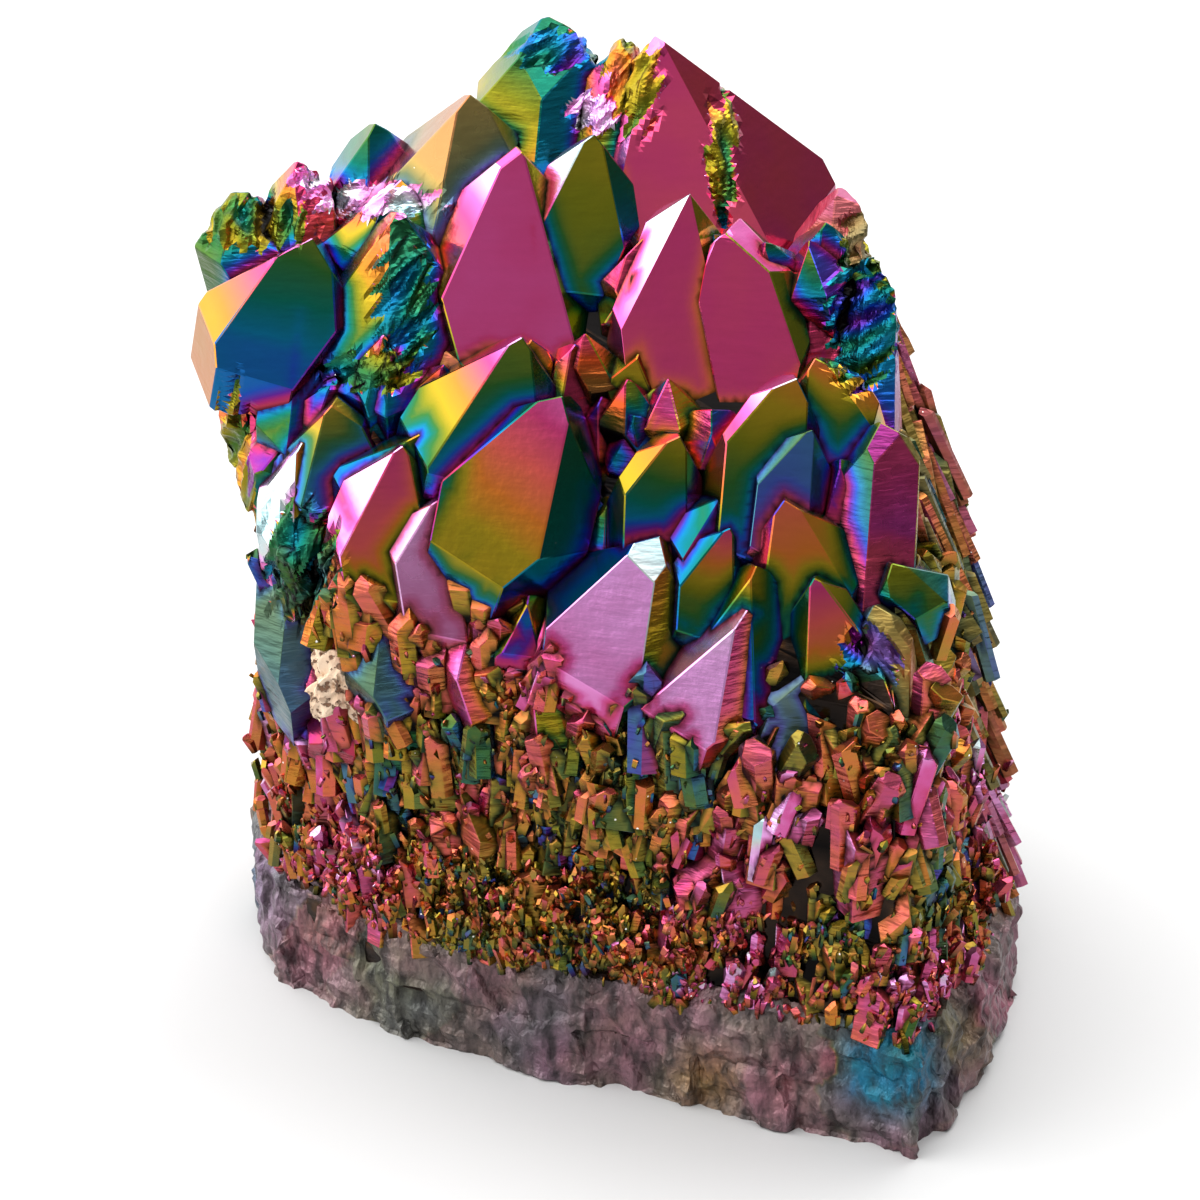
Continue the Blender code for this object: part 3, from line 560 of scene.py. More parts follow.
def wall_columns(growth, chunk):
    """The broken roots of the crystals, close together round the chunk's sides."""
    rng, tint = random.Random(31), random.Random(6)
    sides = BVHTree.FromBMesh(chunk)
    for band in BANDS:
        for row in range(band.up):
            for place in range(band.around):
                share = (place + 0.5 * (row % 2) + rng.uniform(0.0, 0.5)) / band.around
                rise = (row + rng.uniform(0.2, 0.8)) / band.up
                size, jog = rng.uniform(0.7, 1.2), Vector((rng.uniform(-0.2, 0.2), rng.uniform(-0.2, 0.2), 0))
                outward = facing(math.radians(band.start + (band.end - band.start) * share), 0.0)
                inside = MIDDLE + Vector((0, 0, band.low + (band.high - band.low) * rise))
                hit, normal = sides.ray_cast(inside, outward)[:2]
                if hit is None:
                    continue
                if band.up > 3:
                    size *= 0.7 + 0.5 * rise
                width, length = band.width * size, band.length * size
                along = Vector((0, 0, 1)) - normal * normal.z + jog
                middle = hit - normal * width * rng.uniform(0.0, 0.25)
                bm = column(width, length, rng)
                film = crust_film(hit, tint)
                dull = 0.3 if band.up > 4 else 0.5
                left, right = (film - 0.1, film), (film + 0.05, film + 0.2)
                coat = Coat((film, film + 0.06), left, right, 0.8, 0.9, dull)
                matrix = Matrix.Translation(middle) @ axes_along(along).to_4x4()
                step = 1.2 if band.up > 4 else 2.0
                growth.add("column", bm, matrix, 0.0, coat, length * 0.6, step, tint)


def hull_of(corners):
    """A convex solid round some corners."""
    bm = bmesh.new()
    loose = [bm.verts.new(corner) for corner in corners]
    hull = bmesh.ops.convex_hull(bm, input=loose)
    bmesh.ops.delete(bm, geom=hull["geom_interior"], context="VERTS")
    return bm


def chunk_hull():
    """The core of the chunk: it rises from the rind, and its front slopes back behind the crown."""
    corners = [Vector((x * WAIST_SHARE, y * WAIST_SHARE, 5.0)) for x, y in RIND_OUTLINE]
    for z, left, right, back in CHUNK_LEVELS:
        behind = 1.0 if z <= RIM_Z else CHUNK_BEHIND + 0.3 * (z - 54.0)
        for share in (0.12, 0.38, 0.62, 0.88):
            x = left + (right - left) * share
            corners.append(Vector((x, crown_y(x, z) + behind, z)))
            corners.append(Vector((x * 0.9, back, z)))
        corners += [Vector((side, y, z)) for side in (left, right) for y in SIDE_DEPTHS]
    return hull_of(corners)


class Beside:
    """The flat faces of the crystals that stand near each crystal."""

    def __init__(self, solids):
        lows = np.array([solid.low for solid in solids]) - BESIDE_REACH
        highs = np.array([solid.high for solid in solids]) + BESIDE_REACH
        self.normals, self.offsets, self.starts = [], [], []
        for number, solid in enumerate(solids):
            near = np.all((lows < solid.high) & (highs > solid.low), axis=1)
            near[number] = False
            others = [solids[other] for other in np.nonzero(near)[0]]
            counts = [len(other.normals) for other in others]
            self.starts.append(np.cumsum([0] + counts[:-1]))
            self.normals.append(np.concatenate([other.normals for other in others]))
            self.offsets.append(np.concatenate([other.offsets for other in others]))

    def clear_of(self, number, spots, own=None):
        """How far spots stand clear of the crystals beside this one; along its own face if that is given."""
        normals, offsets = self.normals[number], self.offsets[number]
        away = spots @ normals.T - offsets
        if own is not None:
            away /= np.sqrt(np.maximum(1.0 - (normals @ own) ** 2, 0.003))
        return np.maximum.reduceat(away, self.starts[number], axis=1).min(axis=1)


def groups_of(*keys):
    """Row numbers that share the same keys, one group after another."""
    order = np.lexsort(keys)
    ends = np.zeros(len(order) - 1, dtype=bool)
    for key in keys:
        ends |= np.diff(key[order]) != 0
    return np.split(order, np.nonzero(ends)[0] + 1)


def room_at(points, owners, beside):
    """How far each point stands clear of the crystals that it doesn't belong to; inside one, below 0."""
    room = np.empty(len(points))
    for rows in groups_of(owners):
        room[rows] = beside.clear_of(owners[rows[0]], points[rows])
    return room


def halved(triangles, edge_of, middles):
    """Cuts each triangle where its edges have a middle point, and tells which one each came from."""
    marks = middles[edge_of]
    count = (marks >= 0).sum(axis=1)
    pieces, parents = [triangles[count == 0]], [np.nonzero(count == 0)[0]]
    for cuts in (1, 2, 3):
        rows = np.nonzero(count == cuts)[0]
        if not len(rows):
            continue
        first = np.argmax(marks[rows] >= 0, axis=1) if cuts == 1 else np.argmin(marks[rows], axis=1) + 1
        turn = (first[:, None] + np.arange(3)) % 3
        a, b, c = np.take_along_axis(triangles[rows], turn, axis=1).T
        ab, bc, ca = np.take_along_axis(marks[rows], turn, axis=1).T
        fans = {
            1: [(a, ab, c), (ab, b, c)],
            2: [(ab, b, bc), (a, ab, bc), (a, bc, c)],
            3: [(a, ab, ca), (ab, b, bc), (ca, bc, c), (ab, bc, ca)],
        }[cuts]
        pieces += [np.stack(fan, axis=1) for fan in fans]
        parents += [rows] * len(fans)
    return np.concatenate(pieces), np.concatenate(parents)


def cut_finely(growth, beside):
    """Cuts the crystals' faces up where they show, so that the coating's bands can lie on them."""
    points, owners, triangles, faces = growth.gathered()
    steps = np.array([solid.step for solid in growth.solids])
    room = room_at(points, owners, beside)
    for _ in range(CUT_ROUNDS):
        pairs = np.sort(triangles[:, [[0, 1], [1, 2], [2, 0]]].reshape(-1, 2), axis=1)
        keys, edge_of = np.unique(pairs[:, 0] * len(points) + pairs[:, 1], return_inverse=True)
        start, end = keys // len(points), keys % len(points)
        length = np.linalg.norm(points[start] - points[end], axis=1)
        buried = (np.maximum(room[start], room[end]) < -BURIED_SHARE * length) & (length < LONG_EDGE)
        finer = 1.0 - (1.0 - BREAK_STEP) * (broken_share((points[start] + points[end]) / 2)[0] > 0.3)
        split = (length > steps[owners[start]] * finer) & ~buried
        if not split.any():
            break
        middles = np.full(len(keys), -1)
        middles[split] = len(points) + np.arange(split.sum())
        fresh = (points[start[split]] + points[end[split]]) / 2
        room = np.concatenate([room, room_at(fresh, owners[start[split]], beside)])
        owners = np.concatenate([owners, owners[start[split]]])
        points = np.concatenate([points, fresh])
        triangles, parents = halved(triangles, edge_of.reshape(-1, 3), middles)
        faces = faces[parents]
    return points, owners, triangles, faces


def broken_share(points):
    """How broken the surface is at each point, 0 to 1, and which broken place it is in."""
    across, down = pixels_of(points)
    share, which = np.zeros(len(points)), np.zeros(len(points), dtype=int)
    for number, place in enumerate(BREAKS):
        lean = math.radians(place.lean)
        wave = BREAK_WAVE * np.sin((across * math.cos(lean) + down * math.sin(lean)) * WAVE_RUN)
        away = np.hypot((across - place.x) / place.across, (down - place.y) / place.down) + wave
        here = np.where(points[:, 1] < BREAK_BEHIND, np.clip(3.0 - 2.6 * away, 0.0, 1.0), 0.0)
        stronger = here > share
        share[stronger], which[stronger] = here[stronger], number
    return share, which


def shells(at, lean):
    """A broken surface's long hollows with sharp ridges between them, along their lean."""
    turned = math.radians(lean)
    across = at.x * math.cos(turned) - at.z * math.sin(turned)
    along = at.x * math.sin(turned) + at.z * math.cos(turned)
    here = Vector((across, at.y, along))
    wide = noise.noise(here * Vector(SHELL_SIZE))
    fine = noise.noise(here * Vector(SHELL_GRAIN) + Vector((7, 0, 0)))
    return wide, -1.5 * abs(wide) - 0.6 * abs(fine) + 0.3


def broken_up(points, triangles):
    """Moves the points at the broken places in and out, and gives the coating of the places."""
    share, which = broken_share(points)
    film = np.zeros(len(points))
    ways = np.zeros_like(points)
    slopes = slopes_of(points, triangles)
    for corner in range(3):
        np.add.at(ways, triangles[:, corner], slopes)
    ways /= np.maximum(np.linalg.norm(ways, axis=1, keepdims=True), 1e-9)
    moved = points.copy()
    for number in np.nonzero(share)[0]:
        place = BREAKS[which[number]]
        wide, depth = shells(Vector(points[number]), place.lean)
        moved[number] += ways[number] * depth * BREAK_DEPTH * share[number]
        film[number] = place.film + place.range * wide
    return moved, share, film


def film_on(growth, beside, cut):
    """The coating at each triangle's corners, running on into the grooves, and how much painted shade darkens
    each groove.
    """
    points, owners, triangles, faces = cut
    film, shade = np.empty(triangles.shape), np.empty(triangles.shape)
    whose = owners[triangles[:, 0]]
    for rows in groups_of(faces, whose):
        solid = growth.solids[whose[rows[0]]]
        face = faces[rows[0]]
        spots = points[triangles[rows]].reshape(-1, 3)
        away = beside.clear_of(whose[rows[0]], spots, solid.normals[face])
        down = np.clip((solid.tip - spots) @ solid.axis / solid.span, 0.0, 1.0)
        near = np.clip(1.0 - away / solid.coat.fade, 0.0, 1.0)
        own = solid.tones[face][0] + (solid.tones[face][1] - solid.tones[face][0]) * down
        shown = np.minimum(own + GROOVE_RUN * solid.coat.fade * near ** 2.4, np.maximum(own, DEEPEST))
        film[rows] = np.minimum(shown, 1.0).reshape(-1, 3)
        # Painted shade: near a crystal beside it, a groove is darkened towards black over this width.
        line = DARK_LINE if solid.kind in POINT_KINDS else CRUST_LINE
        shade[rows] = np.clip(1.0 - away / line, 0.0, 1.0).reshape(-1, 3)
    return film, shade


def piece(name, points, triangles, finish, corner_values=None, point_values=None):
    """Makes one piece of the cluster, with its coating and other values kept on the mesh."""
    mesh = bpy.data.meshes.new(name)
    mesh.from_pydata((points * MM).tolist(), [], triangles.tolist())
    mesh.shade_flat()
    for key, value in (corner_values or {}).items():
        mesh.attributes.new(key, "FLOAT", "CORNER").data.foreach_set("value", value.ravel())
    for key, value in (point_values or {}).items():
        mesh.attributes.new(key, "FLOAT", "POINT").data.foreach_set("value", value)
    obj = bpy.data.objects.new(name, mesh)
    bpy.context.scene.collection.objects.link(obj)
    mesh.materials.append(finish)
    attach(obj, "root")
    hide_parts("amethyst_cluster")


def crystal_pieces(growth, cut, coating, kinds, finish):
    """One piece for each kind of crystal."""
    points, owners, triangles, _ = cut
    film, shade = coating
    points, share, broken_film = broken_up(points, triangles)
    snapped = share[triangles].mean(axis=1) > 0.5
    film[snapped] = np.clip(broken_film[triangles[snapped]], 0.0, 1.0)
    rough = np.array([solid.coat.rough for solid in growth.solids])[owners]
    rough = np.maximum(rough, 0.7 * share)
    dull = np.array([solid.coat.dull for solid in growth.solids])[owners]
    kind_of = np.array([solid.kind for solid in growth.solids])[owners]
    for name, kind in kinds:
        mine = kind_of[triangles[:, 0]] == kind
        used, places = np.unique(triangles[mine], return_inverse=True)
        corner_values = {"film": film[mine], "shade": shade[mine]}
        point_values = {"rough": rough[used], "dull": dull[used]}
        piece(name, points[used], places.reshape(-1, 3), finish, corner_values, point_values)


def splinter_shapes():
    """A few splinter shapes of width 1 and length 1, tip up: corner points, triangles, their faces."""
    rng, shapes = random.Random(8), []
    for number in range(SPLINTER_KINDS):
        if number % 2:
            shift = Vector((rng.uniform(-0.2, 0.2), rng.uniform(-0.2, 0.2), 0.0))
            depth, turn, minor = rng.uniform(0.5, 1.0), rng.uniform(0, 6), rng.uniform(0, 0.5)
            bm = quartz(1.0, depth, SPLINTER_LENGTH, shift, turn, minor, 0.0, 0.0)
        else:
            bm = column(1.0, 1.8, rng)
            flatten = Matrix.Diagonal((1.0, rng.uniform(0.4, 1.0), 1.0, 1.0))
            bm.transform(Matrix.Translation((0, 0, -0.7)) @ flatten)
        points, triangles, nearest = faces_of(bm)[:3]
        shapes.append((points / (1.0, 1.0, SPLINTER_LENGTH), triangles, nearest))
    return shapes


class Splinters:
    """Small broken crystals, gathered into one piece."""

    def __init__(self, shapes, seed):
        self.shapes, self.rng, self.count = shapes, random.Random(seed), 0
        self.points, self.triangles, self.film, self.shade, self.rough, self.dull = [], [], [], [], [], []

    def add(self, tip, axis, width, length, film, rough, dull):
        """Puts one splinter in, its tip at a place."""
        shape, triangles, faces = self.rng.choice(self.shapes)
        spin = Matrix.Rotation(self.rng.uniform(0, 6.28), 3, "Z")
        turned = np.array(axes_along(axis) @ spin)
        points = (shape * (width, width, length)) @ turned.T + np.array(tip)
        tones = np.array([self.rng.uniform(-0.05, 0.05) for _ in range(faces.max() + 1)])
        deep = np.clip(-shape[:, 2], 0.0, 1.0)[triangles]
        self.film.append(np.clip(film + tones[faces][:, None] + 0.15 * deep, 0.0, 1.0))
        # Painted shade: each grain darkens towards its foot, where it sinks into the crust.
        self.shade.append(np.clip(1.6 * deep - 0.7, 0.0, 0.9))
        self.points.append(points)
        self.triangles.append(triangles + self.count)
        self.rough.append(np.full(len(points), rough))
        self.dull.append(np.full(len(points), dull))
        self.count += len(points)

    def made(self, name, finish):
        """Makes the piece."""
        points, triangles = np.concatenate(self.points), np.concatenate(self.triangles)
        points[:, 2] = np.maximum(points[:, 2], LOWEST_GRAIN)
        corner_values = {"film": np.concatenate(self.film), "shade": np.concatenate(self.shade)}
        point_values = {"rough": np.concatenate(self.rough), "dull": np.concatenate(self.dull)}
        piece(name, points, triangles, finish, corner_values, point_values)


def crust_film(place, rng):
    """The coating of the crust at a place: patches of colour in front, and a mixture elsewhere."""
    px, py = pixels_of(place)
    total, weight = PLAIN_FILM * PLAIN_WEIGHT, PLAIN_WEIGHT
    for patch in PATCHES:
        near = math.exp(-((px - patch.x) ** 2 + (py - patch.y) ** 2) / patch.radius ** 2)
        total, weight = total + patch.film * near, weight + near
    wander = noise.noise(Vector(place) * 0.22) * 0.16
    accent = ACCENT if rng.random() < ACCENT_SHARE else 0.0
    return min(0.8, max(0.04, total / weight + wander + accent + rng.gauss(0.0, 0.05)))


def on_wall(surface, band, rng):
    """A place on the broken wall within a band: the hit, the way out, how high it is, and the face hit."""
    outward = facing(math.radians(rng.uniform(band.start, band.end)), 0.0)
    rise = rng.random()
    start = MIDDLE + outward * WELL_OUTSIDE + Vector((0, 0, band.low + (band.high - band.low) * rise))
    hit, _, number, _ = surface.ray_cast(start, -outward)
    return hit, outward, rise, number


def crust_crystals(growth, surface, owners_of):
    """The broken crystals that cover the walls, grown into the columns under them."""
    rng, tint = random.Random(9), random.Random(12)
    for band in CRUSTS:
        for _ in range(band.count):
            hit, outward, rise, number = on_wall(surface, band, rng)
            if hit is None:
                continue
            solid = growth.solids[owners_of[number]]
            below = (solid.tip - np.array(hit)) @ solid.axis / solid.span
            if solid.kind in POINT_KINDS and (below < FOOT_CLEAR or band.kind != "front_crust"):
                continue
            width = (band.narrow + (band.wide - band.narrow) * rise) * rng.uniform(0.6, 1.25)
            length = width * band.stretch * rng.uniform(0.6, 1.3)
            axis = Vector((rng.gauss(0, 0.2), rng.gauss(0, 0.14), 1.0)) + outward * rng.uniform(-0.1, 0.4)
            if band.stretch > 5:
                axis = Vector((RIGHT_WALL_LEAN + rng.gauss(0, 0.07), rng.gauss(0, 0.1), 1.0))
            foot = FOOT_LEDGE * max(0.0, 1.0 - 5.0 * rise)
            tip = hit + axis.normalized() * length * 0.5 + outward * (foot - width * rng.uniform(0.1, 0.3))
            shift = Vector((rng.uniform(-0.25, 0.25), rng.uniform(-0.25, 0.1), 0.0)) * width
            turn = math.atan2(outward.x, -outward.y) + rng.uniform(-0.7, 0.7)
            chip = rng.choice((0.0, 0.3, 0.7)) * width
            depth = width * rng.uniform(0.35, 0.85)
            minor, chip_turn = rng.uniform(0, 0.4), turn + rng.gauss(0, 1.0)
            bm = quartz(width, depth, length, shift, turn, minor, chip, chip_turn)
            film = crust_film(hit, tint)
            coat = Coat(
                (film, film + 0.05), (film - 0.08, film - 0.02), (film + 0.05, film + 0.14),
                rng.uniform(0.4, 0.8), band.rough * rng.uniform(0.3, 1.0), band.dull * rng.uniform(0.4, 1.3),
            )
            matrix = Matrix.Translation(tip) @ axes_along(axis).to_4x4()
            bevel = EDGE_BEVEL * 0.8 if width > 2.2 and band.kind == "front_crust" else 0.0
            growth.add(band.kind, bm, matrix, turn, coat, length * 0.8, band.step, tint, bevel)


def crust_grains(surface, bare, finish):
    """Fine grains in the lower crust, none of them on the faces that stay bare."""
    splinters = Splinters(splinter_shapes(), 9)
    rng = splinters.rng
    for band in GRAINS:
        for _ in range(band.count):
            hit, outward, _, number = on_wall(surface, band, rng)
            if hit is None or hit.z > band.high + 4 or bare[number]:
                continue
            width = rng.uniform(band.small, band.large)
            length = width * rng.uniform(1.0, 2.2)
            axis = Vector((rng.gauss(0, 0.3), rng.gauss(0, 0.3), 1.0)) + outward * rng.uniform(0.0, 0.6)
            tip = hit + axis.normalized() * length * 0.45 - outward * width * rng.uniform(0.0, 0.2)
            splinters.add(tip, axis, width, length, crust_film(hit, rng), 0.3, rng.uniform(0.1, 0.5))
    splinters.made("crust_grains", finish)


def rind_mesh():
    """The outer skin of the geode, broken rough and cut off flat underneath."""
    corners = [Vector((x, y, z)) for x, y in RIND_OUTLINE for z in (-4.0, RIND_Z * 0.8)]
    corners += [Vector((x * 0.95, y * 0.95, RIND_Z)) for x, y in RIND_OUTLINE]
    bm = hull_of(corners)
    mesh = bpy.data.meshes.new("rind_blank")
    bm.to_mesh(mesh)
    bm.free()
    blank = bpy.data.objects.new("rind_blank", mesh)
    bpy.context.scene.collection.objects.link(blank)
    remesh = blank.modifiers.new("grain", "REMESH")
    remesh.mode = "VOXEL"
    remesh.voxel_size = RIND_GRAIN
    graph = bpy.context.evaluated_depsgraph_get()
    grained = bpy.data.meshes.new_from_object(blank.evaluated_get(graph))
    bpy.data.objects.remove(blank)
    bm = bmesh.new()
    bm.from_mesh(grained)
    bm.normal_update()
    shifts = [vertex.normal * rind_relief(vertex.co) for vertex in bm.verts]
    for vertex, shift in zip(bm.verts, shifts):
        vertex.co += shift
    cut_away(bm, Vector(), Vector((0, 0, -1)))
    bmesh.ops.triangulate(bm, faces=bm.faces[:])
    bmesh.ops.recalc_face_normals(bm, faces=bm.faces[:])
    return arrays_of(bm)


def rind_relief(at):
    """How far the rind's surface stands out or in: ledges, shells where it broke, and grain."""
    coarse = noise.noise(Vector((at.x, at.y, at.z * 0.5)) * 0.11)
    fine = noise.noise(Vector((at.x + 40, at.y, at.z)) * 0.33)
    ledge = noise.noise(Vector((at.x * 0.5, at.y * 0.5, at.z * 1.6)) * 0.5)
    flake = noise.cell(Vector((at.x + 0.4 * at.z, at.y, at.z * 0.6)) * 0.3)
    grain = noise.turbulence(Vector(at) * 0.9, 3, True)
    return 0.8 * coarse - 1.1 * abs(fine) + 0.4 * ledge + 0.7 * (flake - 0.5) + 0.3 * (grain - 0.5) + 0.1


def rind_values(points):
    """The rind's tint and how strongly it has one, at each corner point."""
    film, tint = np.full(len(points), 0.22), np.full(len(points), 0.06)
    across, down = pixels_of(points)
    for stain in STAINS:
        near = np.exp(-np.hypot(across - stain.x, down - stain.y) ** 2 / stain.radius ** 2) * stain.strength
        here = (points[:, 1] < 10) & (near > tint)
        film[here], tint[here] = stain.film, near[here]
    return film, tint


def tan_crust(surface, finish):
    """The small porous lump of tan mineral at the left."""
    hit, _ = surface.ray_cast(EYE, sight(*TAN_PLACE))[:2]
    bm = bmesh.new()
    bmesh.ops.create_icosphere(bm, subdivisions=5, radius=1.0)
    for vertex in bm.verts:
        at = vertex.co.copy()
        lump = noise.noise(at * 1.3 + Vector((3, 0, 0))) * 0.6 + noise.noise(at * 3.5) * 0.4
        cells = noise.voronoi(at * 4.6 + 0.4 * noise.noise_vector(at * 3))[0]
        pit = max(0.0, 0.36 - cells[0]) * 1.2
        vertex.co = at * (1.0 + lump - pit)
        vertex.co.x *= TAN_SIZE[0]
        vertex.co.y *= TAN_SIZE[1]
        vertex.co.z *= TAN_SIZE[2]
    bm.transform(Matrix.Translation(hit + Vector((0, 0.3, 0))) @ Matrix.Rotation(0.25, 4, "Y"))
    points, triangles = arrays_of(bm)
    piece("tan_crust", points, triangles, finish)


def fill(tree, node, inputs):
    """Fills a node's inputs, each with a plain value or another node's output."""
    for name, value in inputs.items():
        if isinstance(value, bpy.types.NodeSocket):
            tree.links.new(value, node.inputs[name])
        else:
            node.inputs[name].default_value = value


def add(tree, kind, inputs=None, **settings):
    """Adds a shader node with its settings and inputs."""
    new = tree.nodes.new("ShaderNode" + kind)
    for name, value in settings.items():
        setattr(new, name, value)
    fill(tree, new, inputs or {})
    return new


def reckoned(tree, operation, first, second):
    """Works out one number from two."""
    return add(tree, "Math", {0: first, 1: second}, operation=operation).outputs[0]


def plus(tree, first, second):
    """The sum of two numbers."""
    return reckoned(tree, "ADD", first, second)


def times(tree, first, second):
    """One number times another."""
    return reckoned(tree, "MULTIPLY", first, second)


def mixed(tree, share, first, second):
    """One colour over another by share."""
    new = add(tree, "Mix", {"Factor": share, 6: first, 7: second}, data_type="RGBA")
    return new.outputs[2]


def linear(red, green, blue):
    """A colour given as 0 to 255, as a shader takes it."""
    parts = [part / 255 for part in (red, green, blue)]
    return [part / 12.92 if part < 0.04 else ((part + 0.055) / 1.055) ** 2.4 for part in parts] + [1.0]


def new_group(name, inputs, outputs):
    """A shader node group with number inputs; outputs are named with their kind."""
    group = bpy.data.node_groups.new(name, "ShaderNodeTree")
    for key, value in inputs:
        group.interface.new_socket(key, in_out="INPUT", socket_type="NodeSocketFloat").default_value = value
    for key, kind in outputs:
        group.interface.new_socket(key, in_out="OUTPUT", socket_type=kind)
    return group, group.nodes.new("NodeGroupInput").outputs, group.nodes.new("NodeGroupOutput").inputs


def placed(tree, group, **inputs):
    """Puts a group into a material."""
    return add(tree, "Group", inputs, node_tree=group).outputs


# The colours that the coating goes through as it gets thicker
FILM_COLOURS = [
    (0.00, (168, 206, 212)), (0.04, (196, 200, 200)), (0.09, (228, 160, 226)), (0.15, (196, 82, 148)),
    (0.20, (184, 56, 108)), (0.27, (206, 86, 80)), (0.34, (190, 106, 40)), (0.41, (150, 126, 26)),
    (0.47, (104, 106, 20)), (0.53, (38, 88, 38)), (0.59, (6, 92, 78)), (0.65, (6, 98, 134)),
    (0.70, (24, 66, 158)), (0.76, (84, 28, 130)), (0.82, (150, 34, 92)), (0.88, (168, 60, 24)),
    (0.93, (104, 64, 22)), (0.97, (34, 24, 18)), (1.00, (9, 7, 7)),
]


def interference_film():
    """The coating's colour by its thickness, which wanders a little over the surface."""
    group, given, out = new_group(
        "interference_film", [("Film", 0.2), ("Wander", 0.03), ("Size", 200.0)],
        [("Color", "NodeSocketColor")],
    )
    place = add(group, "TexCoord").outputs["Object"]
    waves = add(group, "TexNoise", {"Vector": place, "Scale": given["Size"], "Detail": 2.0}).outputs["Fac"]
    shift = times(group, reckoned(group, "SUBTRACT", waves, 0.5), given["Wander"])
    scale = add(group, "ValToRGB", {"Fac": plus(group, given["Film"], shift)})
    stops = scale.color_ramp.elements
    for spot, colour in FILM_COLOURS[1:-1]:
        stops.new(spot).color = linear(*colour)
    stops[0].color = linear(*FILM_COLOURS[0][1])
    stops[len(stops) - 1].color = linear(*FILM_COLOURS[-1][1])
    group.links.new(scale.outputs["Color"], out["Color"])
    return group


def growth_relief():
    """Growth marks on the faces: low hillocks, fine steps across and small pits."""
    group, given, out = new_group("growth_relief", [("Rough", 0.1)], [("Height", "NodeSocketFloat")])
    place = add(group, "TexCoord").outputs["Object"]
    cells = add(group, "TexVoronoi", {"Vector": place, "Scale": 420.0}, feature="SMOOTH_F1")
    stretched = add(group, "Mapping", {"Vector": place, "Scale": (260.0, 260.0, 1500.0)}).outputs[0]
    steps = add(group, "TexNoise", {"Vector": stretched, "Scale": 1.0, "Detail": 3.0}).outputs["Fac"]
    grain = add(group, "TexNoise", {"Vector": place, "Scale": 1600.0, "Detail": 3.0}).outputs["Fac"]
    hills = times(group, cells.outputs["Distance"], 0.6)
    marks = times(group, given["Rough"], plus(group, hills, steps))
    height = plus(group, marks, times(group, grain, 0.05))
    group.links.new(height, out["Height"])
    return group


def bright_specks():
    """Tiny chipped spots that catch the light."""
    group, given, out = new_group(
        "bright_specks", [("Size", 900.0), ("Share", 0.1)], [("Mask", "NodeSocketFloat")]
    )
    place = add(group, "TexCoord").outputs["Object"]
    spots = add(group, "TexVoronoi", {"Vector": place, "Scale": given["Size"]})
    picked = add(group, "SeparateColor", {0: spots.outputs["Color"]}).outputs[0]
    small = reckoned(group, "LESS_THAN", spots.outputs["Distance"], times(group, picked, 0.3))
    rare = reckoned(group, "LESS_THAN", picked, given["Share"])
    few = add(group, "TexNoise", {"Vector": place, "Scale": 120.0}).outputs["Fac"]
    here = reckoned(group, "GREATER_THAN", few, 0.52)
    mask = times(group, times(group, small, rare), here)
    group.links.new(mask, out["Mask"])
    return group


def kept_value(tree, name):
    """A value kept on the mesh."""
    return add(tree, "Attribute", attribute_name=name).outputs["Fac"]


def new_finish(name):
    """A new material with its own shader."""
    material = bpy.data.materials.new(name)
    material.use_nodes = True
    tree = material.node_tree
    return material, tree, tree.nodes["Principled BSDF"].inputs


# A coated finish: its colour where it is worn, how much and how finely the coating's thickness wanders,
# the share of bright specks, the least roughness and how deep the growth marks are
CoatedLook = namedtuple("CoatedLook", "worn wander wander_size speck_share least_rough bump")
ON_POINTS = CoatedLook((128, 104, 104), 0.05, 150.0, 0.16, 0.13, 0.28)
ON_CRUST = CoatedLook((124, 100, 84), 0.16, 420.0, 0.4, 0.12, 0.4)
# Painted shade: the grooves between crystals are darkened towards this black.
GROOVE_SHADE_BLACK = (0.002, 0.0015, 0.0015, 1.0)
CHIP_WHITE = (250, 248, 244)
COATING_METALLIC, RIND_METALLIC = 0.92, 0.45


def coated_finish(name, film, relief, specks, look):
    """The titanium coating, over smooth points or over broken crust."""
    material, tree, shader = new_finish(name)
    rough, dull = kept_value(tree, "rough"), kept_value(tree, "dull")
    given = {"Film": kept_value(tree, "film"), "Wander": look.wander, "Size": look.wander_size}
    colour = placed(tree, film, **given)["Color"]
    worn = mixed(tree, times(tree, dull, 0.75), colour, linear(*look.worn))
    # Painted shade: the colour is darkened towards black in the grooves between crystals.
    worn = mixed(tree, kept_value(tree, "shade"), worn, GROOVE_SHADE_BLACK)
    chips = placed(tree, specks, Size=1100.0, Share=look.speck_share)["Mask"]
    tree.links.new(mixed(tree, chips, worn, linear(*CHIP_WHITE)), shader["Base Color"])
    place = add(tree, "TexCoord").outputs["Object"]
    blotches = add(tree, "TexNoise", {"Vector": place, "Scale": 500.0, "Detail": 2.0}).outputs["Fac"]
    strength = plus(tree, rough, dull)
    uneven = times(tree, strength, times(tree, blotches, 0.4))
    tree.links.new(plus(tree, look.least_rough, uneven), shader["Roughness"])
    shader["Metallic"].default_value = COATING_METALLIC
    height = placed(tree, relief, Rough=rough)["Height"]
    bumped = add(tree, "Bump", {"Height": height, "Strength": 1.0, "Distance": look.bump * MM})
    tree.links.new(bumped.outputs[0], shader["Normal"])
    return material


